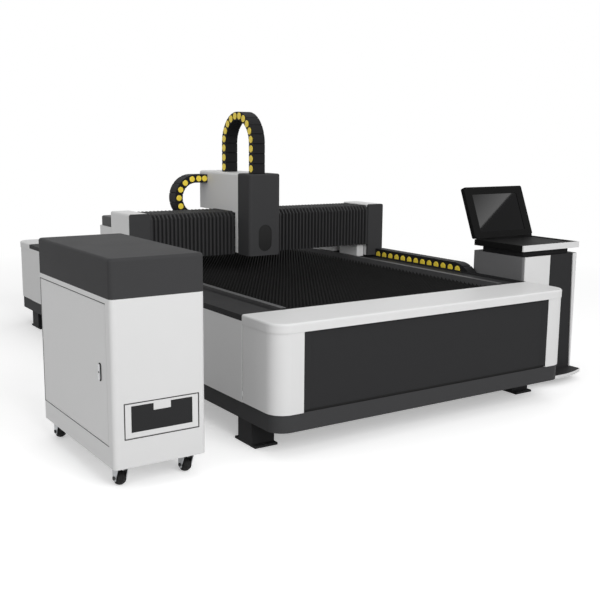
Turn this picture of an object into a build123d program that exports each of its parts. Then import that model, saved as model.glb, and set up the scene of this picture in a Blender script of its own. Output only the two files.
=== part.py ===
"""Open-bed fiber laser cutting machine with its wheeled cabinet and its operator console.

Millimetres, +Z up. The origin is on the floor at the centre of the bed's anchor holes,
+X runs along the gantry to the operator's right and +Y from the front cover to the rear one.
"""
import math
import os

from build123d import *

# Bed: overall sizes and heights above the floor
bed_width = 2290
bed_length = 4520
plinth_bottom = 150
plinth_top = 252
bed_top = 761
end_cover_depth = 360
corner_radius = 110
sheet = 3
plinth_inset = 10
plinth_corner_length = 150

# Bed: feet with their anchor holes
foot_width = 150
foot_length = 155
foot_outer_inset = 25
foot_end_inset = 294
foot_plate_overhang = 38
foot_plate_thickness = 14
foot_wall = 8
anchor_hole_diameter = 22
anchor_hole_offset = 97

# Bed: welded frame
beam_inner_inset = 300
beam_outer_inset = 105
beam_bottom = 260
beam_top = 640
beam_end_inset = 60
beam_wall = 10
upstand_inner_inset = 190
upstand_width = 45
cross_beam_width = 80
cross_beam_height = 80
cross_beam_wall = 6
cross_beam_count = 4
cross_beam_end_inset = 380

# Bed: front cover, its dark panel and the plain rear cover
lid_height = 54
lid_overhang = 4
lid_edge_radius = 12
cover_flange = 16
panel_half_width = 960
panel_band = 50
panel_edge_recess = 2
panel_recess = 14
panel_bottom_gap = 10
fit_gap = 0.3
cut_overrun = 20

# Bed: side covers, rail covers and inner guards
side_cover_top = 723
side_foot_flange = 22
side_head_flange = 30
rail_cover_top = 757
rail_cover_inner_inset = 218
rail_cover_flange = 22
guard_inner_inset = 294
guard_width = 36
guard_top = 772

# Bed: Y guide rails and racks
rail_width = 34
rail_height = 28
y_rail_inset = 222
y_rail_end_inset = 370
rack_bottom = 702
rack_height = 24
pinion_radius = 21
pinion_height = 18
pinion_inset = 235

# Bed: toothed slats, their comb bars and the slag tray
slat_count = 32
slat_thickness = 6
slat_height = 100
slat_tip = 745
slat_tooth_count = 22
slat_tooth_depth = 30
slat_end_gap = 3
slat_end_inset = 420
comb_width = 30
comb_height = 100
comb_slot_depth = 55
comb_end_inset = 380
centre_comb_width = 20
slag_tray_height = 60
slag_tray_side_gap = 10
slag_tray_end_inset = 430

# Gantry: beam, saddles and end covers, as places behind the end covers' front faces
gantry_front = -310
end_front_thickness = 20
end_cover_width = 150
end_cover_outer_inset = 27
end_cover_bottom = 775
end_cover_top = 1193
end_cover_length = 325
end_cover_edge_radius = 14
housing_wall = 4
gantry_beam_front = -260
gantry_beam_depth = 240
gantry_beam_bottom = 905
gantry_beam_top = 1145
gantry_beam_wall = 12
saddle_inner_inset = 250
saddle_width = 65
saddle_bottom = 765
saddle_neck_width = 26
saddle_neck_inset = 248
bearing_width = 60
bearing_height = 47
bearing_length = 90
bearing_end_gap = 5

# Gantry: Y drives behind the end covers
drive_cover_inner_inset = 285
drive_cover_depth = 225
drive_cover_bottom = 780
drive_cover_top = 1075
drive_cover_radius = 12
drive_plate_thickness = 10
motor_width = 80
motor_length = 240
drive_shaft_diameter = 24
motor_cap_width = 190
motor_cap_depth = 205
motor_cap_height = 72
motor_cap_radius = 25
motor_cap_outer_inset = 8

# Gantry: X guide rails, rack and the pleated bellows
x_rail_width = 26
x_rail_height = 22
x_rail_low = 950
x_rail_high = 1100
x_rail_end_gap = 8
x_rack_height = 11
x_rack_width = 20
x_rack_back_inset = 20
bellows_front = -305
bellows_back = 0
bellows_bottom = 866
bellows_top = 1185
bellows_bevel = 34
bellows_pleat_depth = 15
bellows_wall = 19
bellows_pitch = 40

# Carriage on the gantry: plate, rear box and X drive
carriage_left = -283
carriage_width = 263
carriage_plate_front = -354
carriage_plate_thickness = 46
carriage_plate_bottom = 880
carriage_plate_radius = 8
carriage_box_bottom = 1177
carriage_box_top = 1467
carriage_box_back = 260
carriage_box_radius = 18
x_bearing_height = 60
x_bearing_length = 80
x_bearing_end_gap = 20
x_drive_plate_rise = 13
x_motor_length = 150

# Cutting head: moving cover with its oval window, slide, body and nozzle
head_front = -525
head_back_gap = 1
head_bottom = 871
head_edge_radius = 24
head_top_radius = 14
window_width = 111
window_height = 195
window_centre = 1000
window_rim = 8
window_thickness = 4
z_rail_width = 16
z_rail_height = 12
z_rail_spacing = 90
z_rail_bottom = 890
z_rail_length = 270
z_slide_thickness = 24
z_slide_bottom = 930
z_slide_height = 210
laser_body_width = 86
laser_body_height = 300
laser_body_bottom = 985
laser_body_radius = 11
laser_barrel_diameter = 58
laser_barrel_bottom = 905
nozzle_diameter = 30
nozzle_tip_diameter = 8
nozzle_tip = 860
nozzle_bore = 3

# Drag chains: sections, bends and ends
chain_notch = 8
chain_notch_depth = 5
y_chain_width = 80
y_chain_outer_inset = 15
y_chain_thickness = 92
y_chain_top = 826
y_chain_bend_radius = 174
y_chain_bend_y = -1255
y_chain_fixed_end = 420
y_chain_pitch = 78
trough_gap = 7
trough_lip = 770
x_chain_width = 110
x_chain_thickness = 63
x_chain_front = 120
x_chain_top = 1440
x_chain_bend_radius = 145
x_chain_bend_x = -384
x_chain_fixed_end = 330
x_chain_pitch = 65
x_tray_end_inset = 295
x_tray_wall = 34
x_tray_gap = 5
x_tray_arm_width = 60
x_tray_arm_height = 45
x_tray_arm_inset = 150
z_chain_width = 100
z_chain_thickness = 60
z_chain_left = -240
z_chain_front_leg = -470
z_chain_back_leg = -68
z_chain_apex = 1912
z_chain_pitch = 60

# Cabinet on casters
cabinet_side_gap = 389
cabinet_end_inset = 58
cabinet_width = 507
cabinet_depth = 1050
cabinet_bottom = 118
cabinet_body_top = 971
cabinet_top_height = 197
cabinet_radius = 25
cabinet_cap_radius = 16
door_front_inset = 63
door_back_inset = 26
door_bottom = 228
door_top = 942
door_thickness = 20
door_gap = 2
door_frame_depth = 20
hinge_pin_diameter = 8
hinge_pin_length = 14
latch_front_inset = 149
latch_centre = 588
latch_width = 24
latch_height = 85
latch_thickness = 8
latch_spindle_diameter = 10
drawer_left_inset = 61
drawer_width = 403
drawer_bottom = 268
drawer_height = 178
drawer_front_thickness = 12
drawer_depth = 450
drawer_side_inset = 15
drawer_tray_rise = 7
drawer_tray_height = 145
inset_side_margin = 34
inset_bottom_margin = 29
inset_height = 136
inset_thickness = 4
tab_width = 94
tab_height = 36
runner_ledge = 35
runner_web_gap = 17
runner_end_gap = 30
laser_source_width = 400
laser_source_depth = 490
laser_source_height = 560
laser_source_back_gap = 60
laser_source_radius = 10

# Cabinet casters
caster_side_inset = 70
caster_end_inset = 85
wheel_radius = 38
wheel_width = 46
wheel_bore_diameter = 9
axle_diameter = 8.4
caster_trail = 24
fork_sheet = 4
fork_length = 62
fork_side_gap = 3
cheek_radius = 20
stem_diameter = 16

# Operator console
console_side_gap = 10
console_end_inset = 423
console_width = 557
console_depth = 490
console_bottom = 74
console_top = 920
console_radius = 12
console_panel_width = 267
console_panel_thickness = 8
console_edge_top_width = 50
console_edge_bottom_width = 22
console_base_thickness = 24
console_base_reach = 155
console_base_bow = 60
console_base_side_gap = 8
console_wheel_radius = 24
console_wheel_width = 22
console_caster_side_inset = 60
console_caster_end_inset = 75
neck_height = 40
neck_side_inset = 45
neck_end_inset = 50
tray_side_overhang = 15
tray_right_overhang = 6
tray_front_overhang = 10
tray_height = 42
tray_depth = 480
tray_edge_thickness = 10
deck_recess = 6
monitor_width = 603
monitor_height = 388
monitor_thickness = 34
monitor_lean = 22
monitor_face_offset = 2
monitor_radius = 14
monitor_pivot_rise = 7
monitor_back_inset = 20
monitor_side_bezel = 70
monitor_top_bezel = 56
monitor_bottom_bezel = 40
screen_recess = 3
screen_thickness = 3
hinge_barrel_radius = 6
hinge_barrel_length = 70
hinge_spacing = 320

half_width = bed_width / 2
half_length = bed_length / 2
cover_edge = half_length - end_cover_depth
cabinet_left = -half_width - cabinet_side_gap - cabinet_width
cabinet_front = -half_length + cabinet_end_inset
console_left = half_width + console_side_gap
console_front = -half_length + console_end_inset


def along_x(outline, start, end):
    """Solid with a closed (y, z) outline, from one x to another."""
    face = Face(Wire.make_polygon([(start, y, z) for y, z in outline]))
    return Solid.extrude(face, (end - start, 0, 0))


def along_y(outline, start, end):
    """Solid with a closed (x, z) outline, from one y to another."""
    face = Face(Wire.make_polygon([(x, start, z) for x, z in outline]))
    return Solid.extrude(face, (0, end - start, 0))


def along_z(outline, start, end):
    """Solid with a closed (x, y) outline, from one z to another."""
    face = Face(Wire.make_polygon([(x, y, start) for x, y in outline]))
    return Solid.extrude(face, (0, 0, end - start))


def bar(x_span, y_span, z_span):
    """Square-edged bar between two corners."""
    (x0, x1), (y0, y1) = x_span, y_span
    return along_z([(x0, y0), (x1, y0), (x1, y1), (x0, y1)], *z_span)


def rounded_bar(x_span, y_span, z_span, radius):
    """Bar with rounded upright edges."""
    (x0, x1), (y0, y1), (z0, z1) = x_span, y_span, z_span
    plan = RectangleRounded(x1 - x0, y1 - y0, radius)
    return Pos((x0 + x1) / 2, (y0 + y1) / 2, z0) * extrude(plan, z1 - z0)


def pin(centre, direction, radius, length):
    """Round pin that starts at a point and runs along a direction."""
    return Plane(centre, z_dir=direction) * extrude(Circle(radius), length)


def both_sides(solid):
    """A piece and its mirror image on the machine's other side."""
    return [solid, mirror(solid, about=Plane.YZ)]


def folded(path, thickness):
    """Closed outline of a sheet that is folded along a path and thickened to its left."""
    normals = []
    for (u0, v0), (u1, v1) in zip(path, path[1:]):
        length = math.hypot(u1 - u0, v1 - v0)
        normals.append(((v0 - v1) / length, (u1 - u0) / length))
    offset = []
    for index, (u, v) in enumerate(path):
        before = normals[max(index - 1, 0)]
        after = normals[min(index, len(normals) - 1)]
        mitre = thickness / (1 + before[0] * after[0] + before[1] * after[1])
        offset.append((u + mitre * (before[0] + after[0]), v + mitre * (before[1] + after[1])))
    return path + offset[::-1]


# Bed


def base_frame():
    """Two long box beams that carry the guides on upstands, and the hollow cross beams between them."""
    inner = half_width - beam_inner_inset
    outer = half_width - beam_outer_inset
    wall_inner = half_width - upstand_inner_inset
    wall_outer = wall_inner + upstand_width
    wall_top = rail_cover_top - sheet
    section = [
        (inner, beam_bottom),
        (outer, beam_bottom),
        (outer, beam_top),
        (wall_outer, beam_top),
        (wall_outer, wall_top),
        (wall_inner, wall_top),
        (wall_inner, beam_top),
        (inner, beam_top),
    ]
    reach = half_length - beam_end_inset
    bore_x = (inner + beam_wall, outer - beam_wall)
    bore = bar(bore_x, (-reach, reach), (beam_bottom + beam_wall, beam_top - beam_wall))
    members = both_sides(along_y(section, -reach, reach) - bore)
    first = -half_length + cross_beam_end_inset
    step = -2 * first / (cross_beam_count - 1)
    for index in range(cross_beam_count):
        y = first + index * step
        depth = (y - cross_beam_width / 2, y + cross_beam_width / 2)
        height = (beam_bottom, beam_bottom + cross_beam_height)
        beam = bar((-inner, inner), depth, height)
        bore_y = (depth[0] + cross_beam_wall, depth[1] - cross_beam_wall)
        bore_z = (height[0] + cross_beam_wall, height[1] - cross_beam_wall)
        members.append(beam - bar((-inner, inner), bore_y, bore_z))
    return members


def foot_places():
    """Centres of the three feet on each side."""
    x = half_width - foot_outer_inset - foot_width / 2
    y = half_length - foot_end_inset - foot_length / 2
    return [(side * x, end * y) for side in (-1, 1) for end in (-1, 0, 1)]


def machine_feet():
    """Square tube legs on base plates with an anchor hole at each end."""
    feet = []
    for x, y in foot_places():
        half_x = foot_width / 2
        half_y = foot_length / 2
        tube = bar((x - half_x, x + half_x), (y - half_y, y + half_y), (0, beam_bottom))
        bore_x = (x - half_x + foot_wall, x + half_x - foot_wall)
        bore_y = (y - half_y + foot_wall, y + half_y - foot_wall)
        tube -= bar(bore_x, bore_y, (foot_plate_thickness, beam_bottom))
        plate_y = (y - half_y - foot_plate_overhang, y + half_y + foot_plate_overhang)
        foot = tube + bar((x - half_x, x + half_x), plate_y, (0, foot_plate_thickness))
        for end in (-1, 1):
            centre = (x, y + end * anchor_hole_offset, 0)
            foot -= pin(centre, (0, 0, 1), anchor_hole_diameter / 2, foot_plate_thickness)
        feet.append(foot)
    return feet


def plan_with_round_front(side, front, back, radius):
    """Bed-wide plan face whose two front corners are rounded."""
    plan = Pos(0, (front + back) / 2) * Rectangle(2 * side, back - front)
    return fillet(plan.vertices().group_by(Axis.Y)[0], radius)


def slab(plan, bottom, top):
    """Plan face raised between two heights."""
    return extrude(Pos(0, 0, bottom) * plan, top - bottom)


def plinth():
    """Dark skirt: two ends that wrap the rounded corners and two straight sides."""
    side = half_width - plinth_inset
    end = half_length - plinth_inset
    joint = end - plinth_corner_length
    radius = corner_radius - plinth_inset
    outer = plan_with_round_front(side, -end, -joint, radius)
    hollow = plan_with_round_front(side - sheet, sheet - end, cut_overrun - joint, radius - sheet)
    front = slab(outer, plinth_bottom, plinth_top) - slab(hollow, plinth_bottom, plinth_top)
    strip = bar((side - sheet, side), (-joint, joint), (plinth_bottom, plinth_top))
    return [front, mirror(front, about=Plane.XZ)] + both_sides(strip)


def end_shell():
    """Folded end cover with a lid that stands proud of its two rounded columns."""
    lid_bottom = bed_top - lid_height
    front = -half_length
    column_side = half_width - lid_overhang
    column_front = front + lid_overhang
    column_radius = corner_radius - lid_overhang
    lid_plan = plan_with_round_front(half_width, front, -cover_edge, corner_radius)
    lid = slab(lid_plan, lid_bottom, bed_top)
    rim = lid.faces().sort_by(Axis.Z)[-1].edges()
    lid = fillet([edge for edge in rim if edge.center().Y < -cover_edge - cut_overrun], lid_edge_radius)
    columns = plan_with_round_front(column_side, column_front, -cover_edge, column_radius)
    cavity = plan_with_round_front(
        column_side - sheet, column_front + sheet, cut_overrun - cover_edge, column_radius - sheet
    )
    flange = sheet + cover_flange
    mouth = plan_with_round_front(
        column_side - flange, column_front + flange, cut_overrun - cover_edge, column_radius - flange
    )
    shell = lid + slab(columns, plinth_top, lid_bottom)
    shell -= slab(cavity, plinth_top + sheet, bed_top - sheet)
    return shell - slab(mouth, plinth_top - cut_overrun, plinth_top + sheet)


def front_cover():
    """End cover with the window for the dark panel between its columns."""
    front = -half_length
    back = front + lid_overhang + sheet + cover_flange + fit_gap
    height = (plinth_top - cut_overrun, bed_top - lid_height)
    window = bar((-panel_half_width, panel_half_width), (front - cut_overrun, back), height)
    return end_shell() - window


def rear_cover():
    """Plain end cover at the back."""
    return mirror(end_shell(), about=Plane.XZ)


def front_panel():
    """Recessed panel whose end bands are bent forward to the columns."""
    face = -half_length + lid_overhang
    edge = panel_half_width - fit_gap
    path = [
        (edge, face + panel_edge_recess),
        (edge - panel_band, face + panel_recess),
        (panel_band - edge, face + panel_recess),
        (-edge, face + panel_edge_recess),
    ]
    bottom = plinth_top + sheet + panel_bottom_gap
    return along_z(folded(path, -sheet), bottom, bed_top - lid_height)


def side_covers():
    """Flat covers with a folded foot on the plinth and a folded head under the rail cover."""
    path = [
        (half_width - side_foot_flange, plinth_top),
        (half_width, plinth_top),
        (half_width, side_cover_top),
        (half_width - side_head_flange, side_cover_top),
    ]
    plain = along_y(folded(path, sheet), -cover_edge, cover_edge)
    beside_trough = along_y(folded(path[:3], sheet), -cover_edge, cover_edge)
    return [mirror(plain, about=Plane.YZ), beside_trough]


def rail_cover_path():
    """Section of the flat rail cover from its inner flange to the outer edge."""
    inner = half_width - rail_cover_inner_inset
    return [
        (half_width, side_cover_top),
        (half_width, rail_cover_top),
        (inner, rail_cover_top),
        (inner, rail_cover_top - rail_cover_flange),
    ]


def left_rail_cover():
    """Folded strip over the left guide with a fascia down to the side cover."""
    cover = along_y(folded(rail_cover_path(), sheet), -cover_edge, cover_edge)
    return mirror(cover, about=Plane.YZ)


def trough_floor():
    """Height of the trough's floor, on which the lower run of the Y chain lies."""
    return y_chain_top - 2 * y_chain_bend_radius - y_chain_thickness


def right_rail_cover():
    """Rail cover with a deep trough for the Y chain along its outer edge."""
    fascia, outer_edge, inner_edge, flange = rail_cover_path()
    lip = half_width - beam_outer_inset
    wall = half_width - y_chain_outer_inset + trough_gap
    floor = trough_floor() - sheet
    corner = (wall, rail_cover_top)
    flat = along_y(folded([(lip, rail_cover_top), inner_edge, flange], sheet), -cover_edge, cover_edge)
    edge = along_y(folded([fascia, outer_edge, corner], sheet), -cover_edge, cover_edge)
    trough_path = [corner, (wall, floor), (lip, floor), (lip, trough_lip)]
    return flat + edge + along_y(folded(trough_path, -sheet), -cover_edge, cover_edge)


def inner_guards():
    """Raised folded guards between the slats and the guides."""
    inner = half_width - guard_inner_inset
    outer = inner + guard_width
    path = [(outer, beam_top), (outer, guard_top), (inner, guard_top), (inner, beam_top)]
    return both_sides(along_y(folded(path, sheet), -cover_edge, cover_edge))


def y_guides():
    """Guide rails on the beams and racks on the upstands."""
    reach = half_length - y_rail_end_inset
    centre = half_width - y_rail_inset
    rail_span = (centre - rail_width / 2, centre + rail_width / 2)
    rail = bar(rail_span, (-reach, reach), (beam_top, beam_top + rail_height))
    rack_inner = half_width - pinion_inset + pinion_radius + fit_gap
    rack_span = (rack_inner, half_width - upstand_inner_inset)
    rack = bar(rack_span, (-reach, reach), (rack_bottom, rack_bottom + rack_height))
    return both_sides(rail) + both_sides(rack)


def slat_places():
    """Y of each slat."""
    first = -half_length + slat_end_inset
    step = -2 * first / (slat_count - 1)
    return [first + index * step for index in range(slat_count)]


def slats():
    """Upright blades with a row of pointed teeth along the top."""
    reach = half_width - beam_inner_inset - slat_end_gap
    pitch = 2 * reach / slat_tooth_count
    outline = [(reach, slat_tip - slat_height), (-reach, slat_tip - slat_height)]
    for tooth in range(slat_tooth_count):
        root = -reach + tooth * pitch
        outline += [(root, slat_tip - slat_tooth_depth), (root + pitch / 2, slat_tip)]
    outline.append((reach, slat_tip - slat_tooth_depth))
    half = slat_thickness / 2
    return [along_y(outline, y - half, y + half) for y in slat_places()]


def slat_supports():
    """Slotted comb bars along the bed and the two end bars that carry the middle one."""
    seat = slat_tip - slat_height
    top = seat + comb_slot_depth
    bottom = top - comb_height
    reach = half_length - comb_end_inset
    slot_half = slat_thickness / 2 + fit_gap
    outline = [(reach, top), (reach, bottom), (-reach, bottom), (-reach, top)]
    for y in slat_places():
        left = y - slot_half
        right = y + slot_half
        outline += [(left, top), (left, seat), (right, seat), (right, top)]
    outer = half_width - beam_inner_inset
    combs = both_sides(along_x(outline, outer - comb_width, outer))
    combs.append(along_x(outline, -centre_comb_width / 2, centre_comb_width / 2))
    for end in (-1, 1):
        depth = sorted((end * reach, end * (reach + comb_width)))
        combs.append(bar((-outer, outer), depth, (bottom, top)))
    return combs


def slag_tray():
    """Wide folded tray on the cross beams that catches the slag."""
    side = half_width - beam_inner_inset - slag_tray_side_gap
    end = half_length - slag_tray_end_inset
    bottom = beam_bottom + cross_beam_height
    top = bottom + slag_tray_height
    tray = bar((-side, side), (-end, end), (bottom, top))
    return tray - bar((sheet - side, side - sheet), (sheet - end, end - sheet), (bottom + sheet, top))


# Drag chains


def chain_outline(first_run, radius, last_run, thickness, pitch):
    """Closed (u, v) outline of a chain: a run to (0, 0), a half turn about (0, radius) and a run back.

    Each joint between two links is a notch on the outer side.
    """
    bend = math.pi * radius
    length = first_run + bend + last_run
    links = round(length / pitch)

    def point(station, outwards):
        """Place at a distance along the chain's middle line and outwards from it."""
        if station < first_run:
            return (station - first_run, -outwards)
        if station > first_run + bend:
            return (first_run + bend - station, 2 * radius + outwards)
        angle = (station - first_run) / radius
        reach = radius + outwards
        return (reach * math.sin(angle), radius - reach * math.cos(angle))

    half = thickness / 2
    outer = [point(0, half)]
    inner = [point(0, -half)]
    for link in range(1, links):
        joint = length * link / links
        outer.append(point(joint - chain_notch / 2, half))
        outer.append(point(joint, half - chain_notch_depth))
        outer.append(point(joint + chain_notch / 2, half))
        inner.append(point(joint, -half))
    outer.append(point(length, half))
    inner.append(point(length, -half))
    return outer + inner[::-1]


def y_chain():
    """Chain in the right trough, from its fixed end to the front of the right end cover."""
    middle = trough_floor() + y_chain_thickness / 2
    outline = chain_outline(
        y_chain_fixed_end - y_chain_bend_y,
        y_chain_bend_radius,
        gantry_front - fit_gap - y_chain_bend_y,
        y_chain_thickness,
        y_chain_pitch,
    )
    right = half_width - y_chain_outer_inset
    places = [(y_chain_bend_y - u, middle + v) for u, v in outline]
    return along_x(places, right - y_chain_width, right)


def x_chain_middle():
    """Height of the middle line of the X chain's lower run."""
    return x_chain_top - x_chain_thickness / 2 - 2 * x_chain_bend_radius


def x_chain():
    """Chain behind the beam, from its fixed end in the tray to the carriage's left side."""
    outline = chain_outline(
        x_chain_fixed_end - x_chain_bend_x,
        x_chain_bend_radius,
        carriage_left - fit_gap - x_chain_bend_x,
        x_chain_thickness,
        x_chain_pitch,
    )
    places = [(x_chain_bend_x - u, x_chain_middle() + v) for u, v in outline]
    return along_y(places, x_chain_front, x_chain_front + x_chain_width)


def z_chain():
    """Chain that arches from the head cover back to the top of the carriage box."""
    radius = (z_chain_back_leg - z_chain_front_leg) / 2
    crown = z_chain_apex - z_chain_thickness / 2 - radius
    leg = crown - carriage_box_top
    outline = chain_outline(leg - fit_gap, radius, leg, z_chain_thickness, z_chain_pitch)
    places = [(z_chain_front_leg + v, crown + u) for u, v in outline]
    return along_x(places, z_chain_left, z_chain_left + z_chain_width)


# Gantry


def end_cover_span():
    """Inner and outer x of the covers at the gantry's ends."""
    outer = half_width - end_cover_outer_inset
    return (outer - end_cover_width, outer)


def gantry_beam():
    """Hollow rectangular beam between the end covers."""
    reach = end_cover_span()[0]
    depth = (gantry_beam_front, gantry_beam_front + gantry_beam_depth)
    height = (gantry_beam_bottom, gantry_beam_top)
    beam = bar((-reach, reach), depth, height)
    inner_depth = (depth[0] + gantry_beam_wall, depth[1] - gantry_beam_wall)
    inner_height = (height[0] + gantry_beam_wall, height[1] - gantry_beam_wall)
    return beam - bar((-reach, reach), inner_depth, inner_height)


def gantry_saddles():
    """Saddles under the beam, whose necks pass the cover slot to bearings on the rails."""
    depth = (gantry_beam_front, gantry_beam_front + gantry_beam_depth)
    inner = half_width - saddle_inner_inset
    saddle = bar((inner, inner + saddle_width), depth, (saddle_bottom, gantry_beam_bottom))
    neck = half_width - saddle_neck_inset
    centre = half_width - y_rail_inset
    bearing_bottom = beam_top + rail_height - bearing_height / 2
    bearing_top = bearing_bottom + bearing_height
    saddle += bar((neck, neck + saddle_neck_width), depth, (bearing_top, saddle_bottom))
    channel = rail_width / 2 + fit_gap
    ceiling = beam_top + rail_height + fit_gap
    section = [
        (centre - channel, bearing_bottom),
        (centre - channel, ceiling),
        (centre + channel, ceiling),
        (centre + channel, bearing_bottom),
        (centre + bearing_width / 2, bearing_bottom),
        (centre + bearing_width / 2, bearing_top),
        (centre - bearing_width / 2, bearing_top),
        (centre - bearing_width / 2, bearing_bottom),
    ]
    front = depth[0] + bearing_end_gap
    back = depth[1] - bearing_end_gap
    saddle += along_y(section, front, front + bearing_length)
    saddle += along_y(section, back - bearing_length, back)
    return both_sides(saddle)


def end_covers():
    """Light covers over the gantry's ends, open below."""
    x_span = end_cover_span()
    front = gantry_front + end_front_thickness
    y_span = (front, front + end_cover_length)
    cover = bar(x_span, y_span, (end_cover_bottom, end_cover_top))
    top = cover.faces().sort_by(Axis.Z)[-1]
    cover = fillet(top.edges().filter_by(Axis.Y), end_cover_edge_radius)
    hollow_x = (x_span[0] + housing_wall, x_span[1] - housing_wall)
    hollow_y = (y_span[0] + housing_wall, y_span[1] - housing_wall)
    cover -= bar(hollow_x, hollow_y, (end_cover_bottom, end_cover_top - housing_wall))
    return both_sides(cover)


def end_fronts():
    """Dark plates on the fronts of the end covers."""
    x_span = end_cover_span()
    y_span = (gantry_front, gantry_front + end_front_thickness)
    plate = bar(x_span, y_span, (end_cover_bottom, end_cover_top))
    top = plate.faces().sort_by(Axis.Z)[-1]
    return both_sides(fillet(top.edges().filter_by(Axis.Y), end_cover_edge_radius))


def drive_cover_spans():
    """Spans of the lower covers behind the end covers, which house the Y drives."""
    front = gantry_front + end_front_thickness + end_cover_length
    x_span = (half_width - drive_cover_inner_inset, end_cover_span()[1])
    return x_span, (front, front + drive_cover_depth)


def drive_covers():
    """Light covers with rounded upright edges, open below."""
    (x0, x1), (y0, y1) = drive_cover_spans()
    cover = rounded_bar((x0, x1), (y0, y1), (drive_cover_bottom, drive_cover_top), drive_cover_radius)
    hollow_x = (x0 + housing_wall, x1 - housing_wall)
    hollow_y = (y0 + housing_wall, y1 - housing_wall)
    hollow_top = drive_cover_top - housing_wall
    inner_radius = drive_cover_radius - housing_wall
    hollow = rounded_bar(hollow_x, hollow_y, (drive_cover_bottom, hollow_top), inner_radius)
    return both_sides(cover - hollow)


def y_drives():
    """Servo motors with pinions on the racks, and the dark caps over the covers."""
    (x0, x1), (y0, y1) = drive_cover_spans()
    wall = housing_wall + drive_cover_radius
    plate_top = drive_cover_bottom + drive_plate_thickness
    plate_x = (x0 + housing_wall, x1 - housing_wall)
    plate = bar(plate_x, (y0 + wall, y1 - wall), (drive_cover_bottom, plate_top))
    x = half_width - pinion_inset
    y = (y0 + y1) / 2
    half = motor_width / 2
    motor = bar((x - half, x + half), (y - half, y + half), (plate_top, plate_top + motor_length))
    pinion_bottom = rack_bottom + (rack_height - pinion_height) / 2
    pinion = pin((x, y, pinion_bottom), (0, 0, 1), pinion_radius, pinion_height)
    shaft_length = drive_cover_bottom - pinion_bottom
    shaft = pin((x, y, pinion_bottom), (0, 0, 1), drive_shaft_diameter / 2, shaft_length)
    cap_right = x1 - motor_cap_outer_inset
    cap_x = (cap_right - motor_cap_width, cap_right)
    cap_y = (y - motor_cap_depth / 2, y + motor_cap_depth / 2)
    cap = rounded_bar(cap_x, cap_y, (drive_cover_top, drive_cover_top + motor_cap_height), motor_cap_radius)
    cap = fillet(cap.faces().sort_by(Axis.Z)[-1].edges(), motor_cap_radius / 2)
    return both_sides(plate + motor + shaft + pinion) + both_sides(cap)


def x_guides():
    """Two guide rails on the beam's front and the rack on its top."""
    reach = end_cover_span()[0] - x_rail_end_gap
    rails = []
    for z in (x_rail_low, x_rail_high):
        depth = (gantry_beam_front - x_rail_height, gantry_beam_front)
        rails.append(bar((-reach, reach), depth, (z - x_rail_width / 2, z + x_rail_width / 2)))
    back = gantry_beam_front + gantry_beam_depth - x_rack_back_inset
    rack_height_span = (gantry_beam_top, gantry_beam_top + x_rack_height)
    rack = bar((-reach, reach), (back - x_rack_width, back), rack_height_span)
    return rails + [rack]


def bellows_section(x, inset):
    """Section of the pleated cover over the beam's front and top, its outside moved in by an inset."""
    bevel = bellows_bevel + inset * (math.sqrt(2) - 1)
    inner_bevel = bellows_bevel + bellows_wall * (math.sqrt(2) - 1)
    outline = [
        (bellows_back, bellows_top - inset),
        (bellows_front + bevel, bellows_top - inset),
        (bellows_front + inset, bellows_top - bevel),
        (bellows_front + inset, bellows_bottom),
        (bellows_front + bellows_wall, bellows_bottom),
        (bellows_front + bellows_wall, bellows_top - inner_bevel),
        (bellows_front + inner_bevel, bellows_top - bellows_wall),
        (bellows_back, bellows_top - bellows_wall),
    ]
    return Face(Wire.make_polygon([(x, y, z) for y, z in outline]))


def bellows(start, end):
    """Pleated cover between two x: folds alternate between ridge and valley."""
    folds = 2 * round((end - start) / bellows_pitch)
    sections = []
    for fold in range(folds + 1):
        inset = bellows_pleat_depth if fold % 2 == 0 else 0
        sections.append(bellows_section(start + (end - start) * fold / folds, inset))
    return loft(sections, ruled=True)


def left_bellows():
    """Bellows from the left end cover to the carriage."""
    return bellows(-end_cover_span()[0], carriage_left - fit_gap)


def right_bellows():
    """Bellows from the carriage to the right end cover."""
    return bellows(carriage_left + carriage_width + fit_gap, end_cover_span()[0])


def x_chain_tray():
    """Folded tray on arms behind the beam, under the X chain's lower run."""
    floor = x_chain_middle() - x_chain_thickness / 2
    front = x_chain_front - x_tray_gap
    back = x_chain_front + x_chain_width + x_tray_gap
    path = [(front, floor + x_tray_wall), (front, floor), (back, floor), (back, floor + x_tray_wall)]
    reach = half_width - x_tray_end_inset
    tray = along_x(folded(path, -sheet), -reach, reach)
    beam_back = gantry_beam_front + gantry_beam_depth
    top = floor - sheet
    for place in (-1, 0, 1):
        x = place * (reach - x_tray_arm_inset)
        gusset = [(beam_back, top), (beam_back, top - x_tray_arm_height), (back, top - sheet), (back, top)]
        tray += along_x(gusset, x - x_tray_arm_width / 2, x + x_tray_arm_width / 2)
    return tray


# Carriage


def carriage_span():
    """Left and right x of the carriage."""
    return (carriage_left, carriage_left + carriage_width)


def carriage_plate():
    """Upright plate with four bearings round the beam's rails."""
    back = carriage_plate_front + carriage_plate_thickness
    x0, x1 = carriage_span()
    plate = bar((x0, x1), (carriage_plate_front, back), (carriage_plate_bottom, carriage_box_bottom))
    plate = fillet(plate.edges().filter_by(Axis.Z), carriage_plate_radius)
    bearing_back = gantry_beam_front - x_rail_height / 2
    rail_front = gantry_beam_front - x_rail_height - fit_gap
    for z in (x_rail_low, x_rail_high):
        half = x_bearing_height / 2
        channel = x_rail_width / 2 + fit_gap
        section = [
            (back, z - half),
            (bearing_back, z - half),
            (bearing_back, z - channel),
            (rail_front, z - channel),
            (rail_front, z + channel),
            (bearing_back, z + channel),
            (bearing_back, z + half),
            (back, z + half),
        ]
        plate += along_x(section, x0 + x_bearing_end_gap, x0 + x_bearing_end_gap + x_bearing_length)
        plate += along_x(section, x1 - x_bearing_end_gap - x_bearing_length, x1 - x_bearing_end_gap)
    return plate


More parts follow.
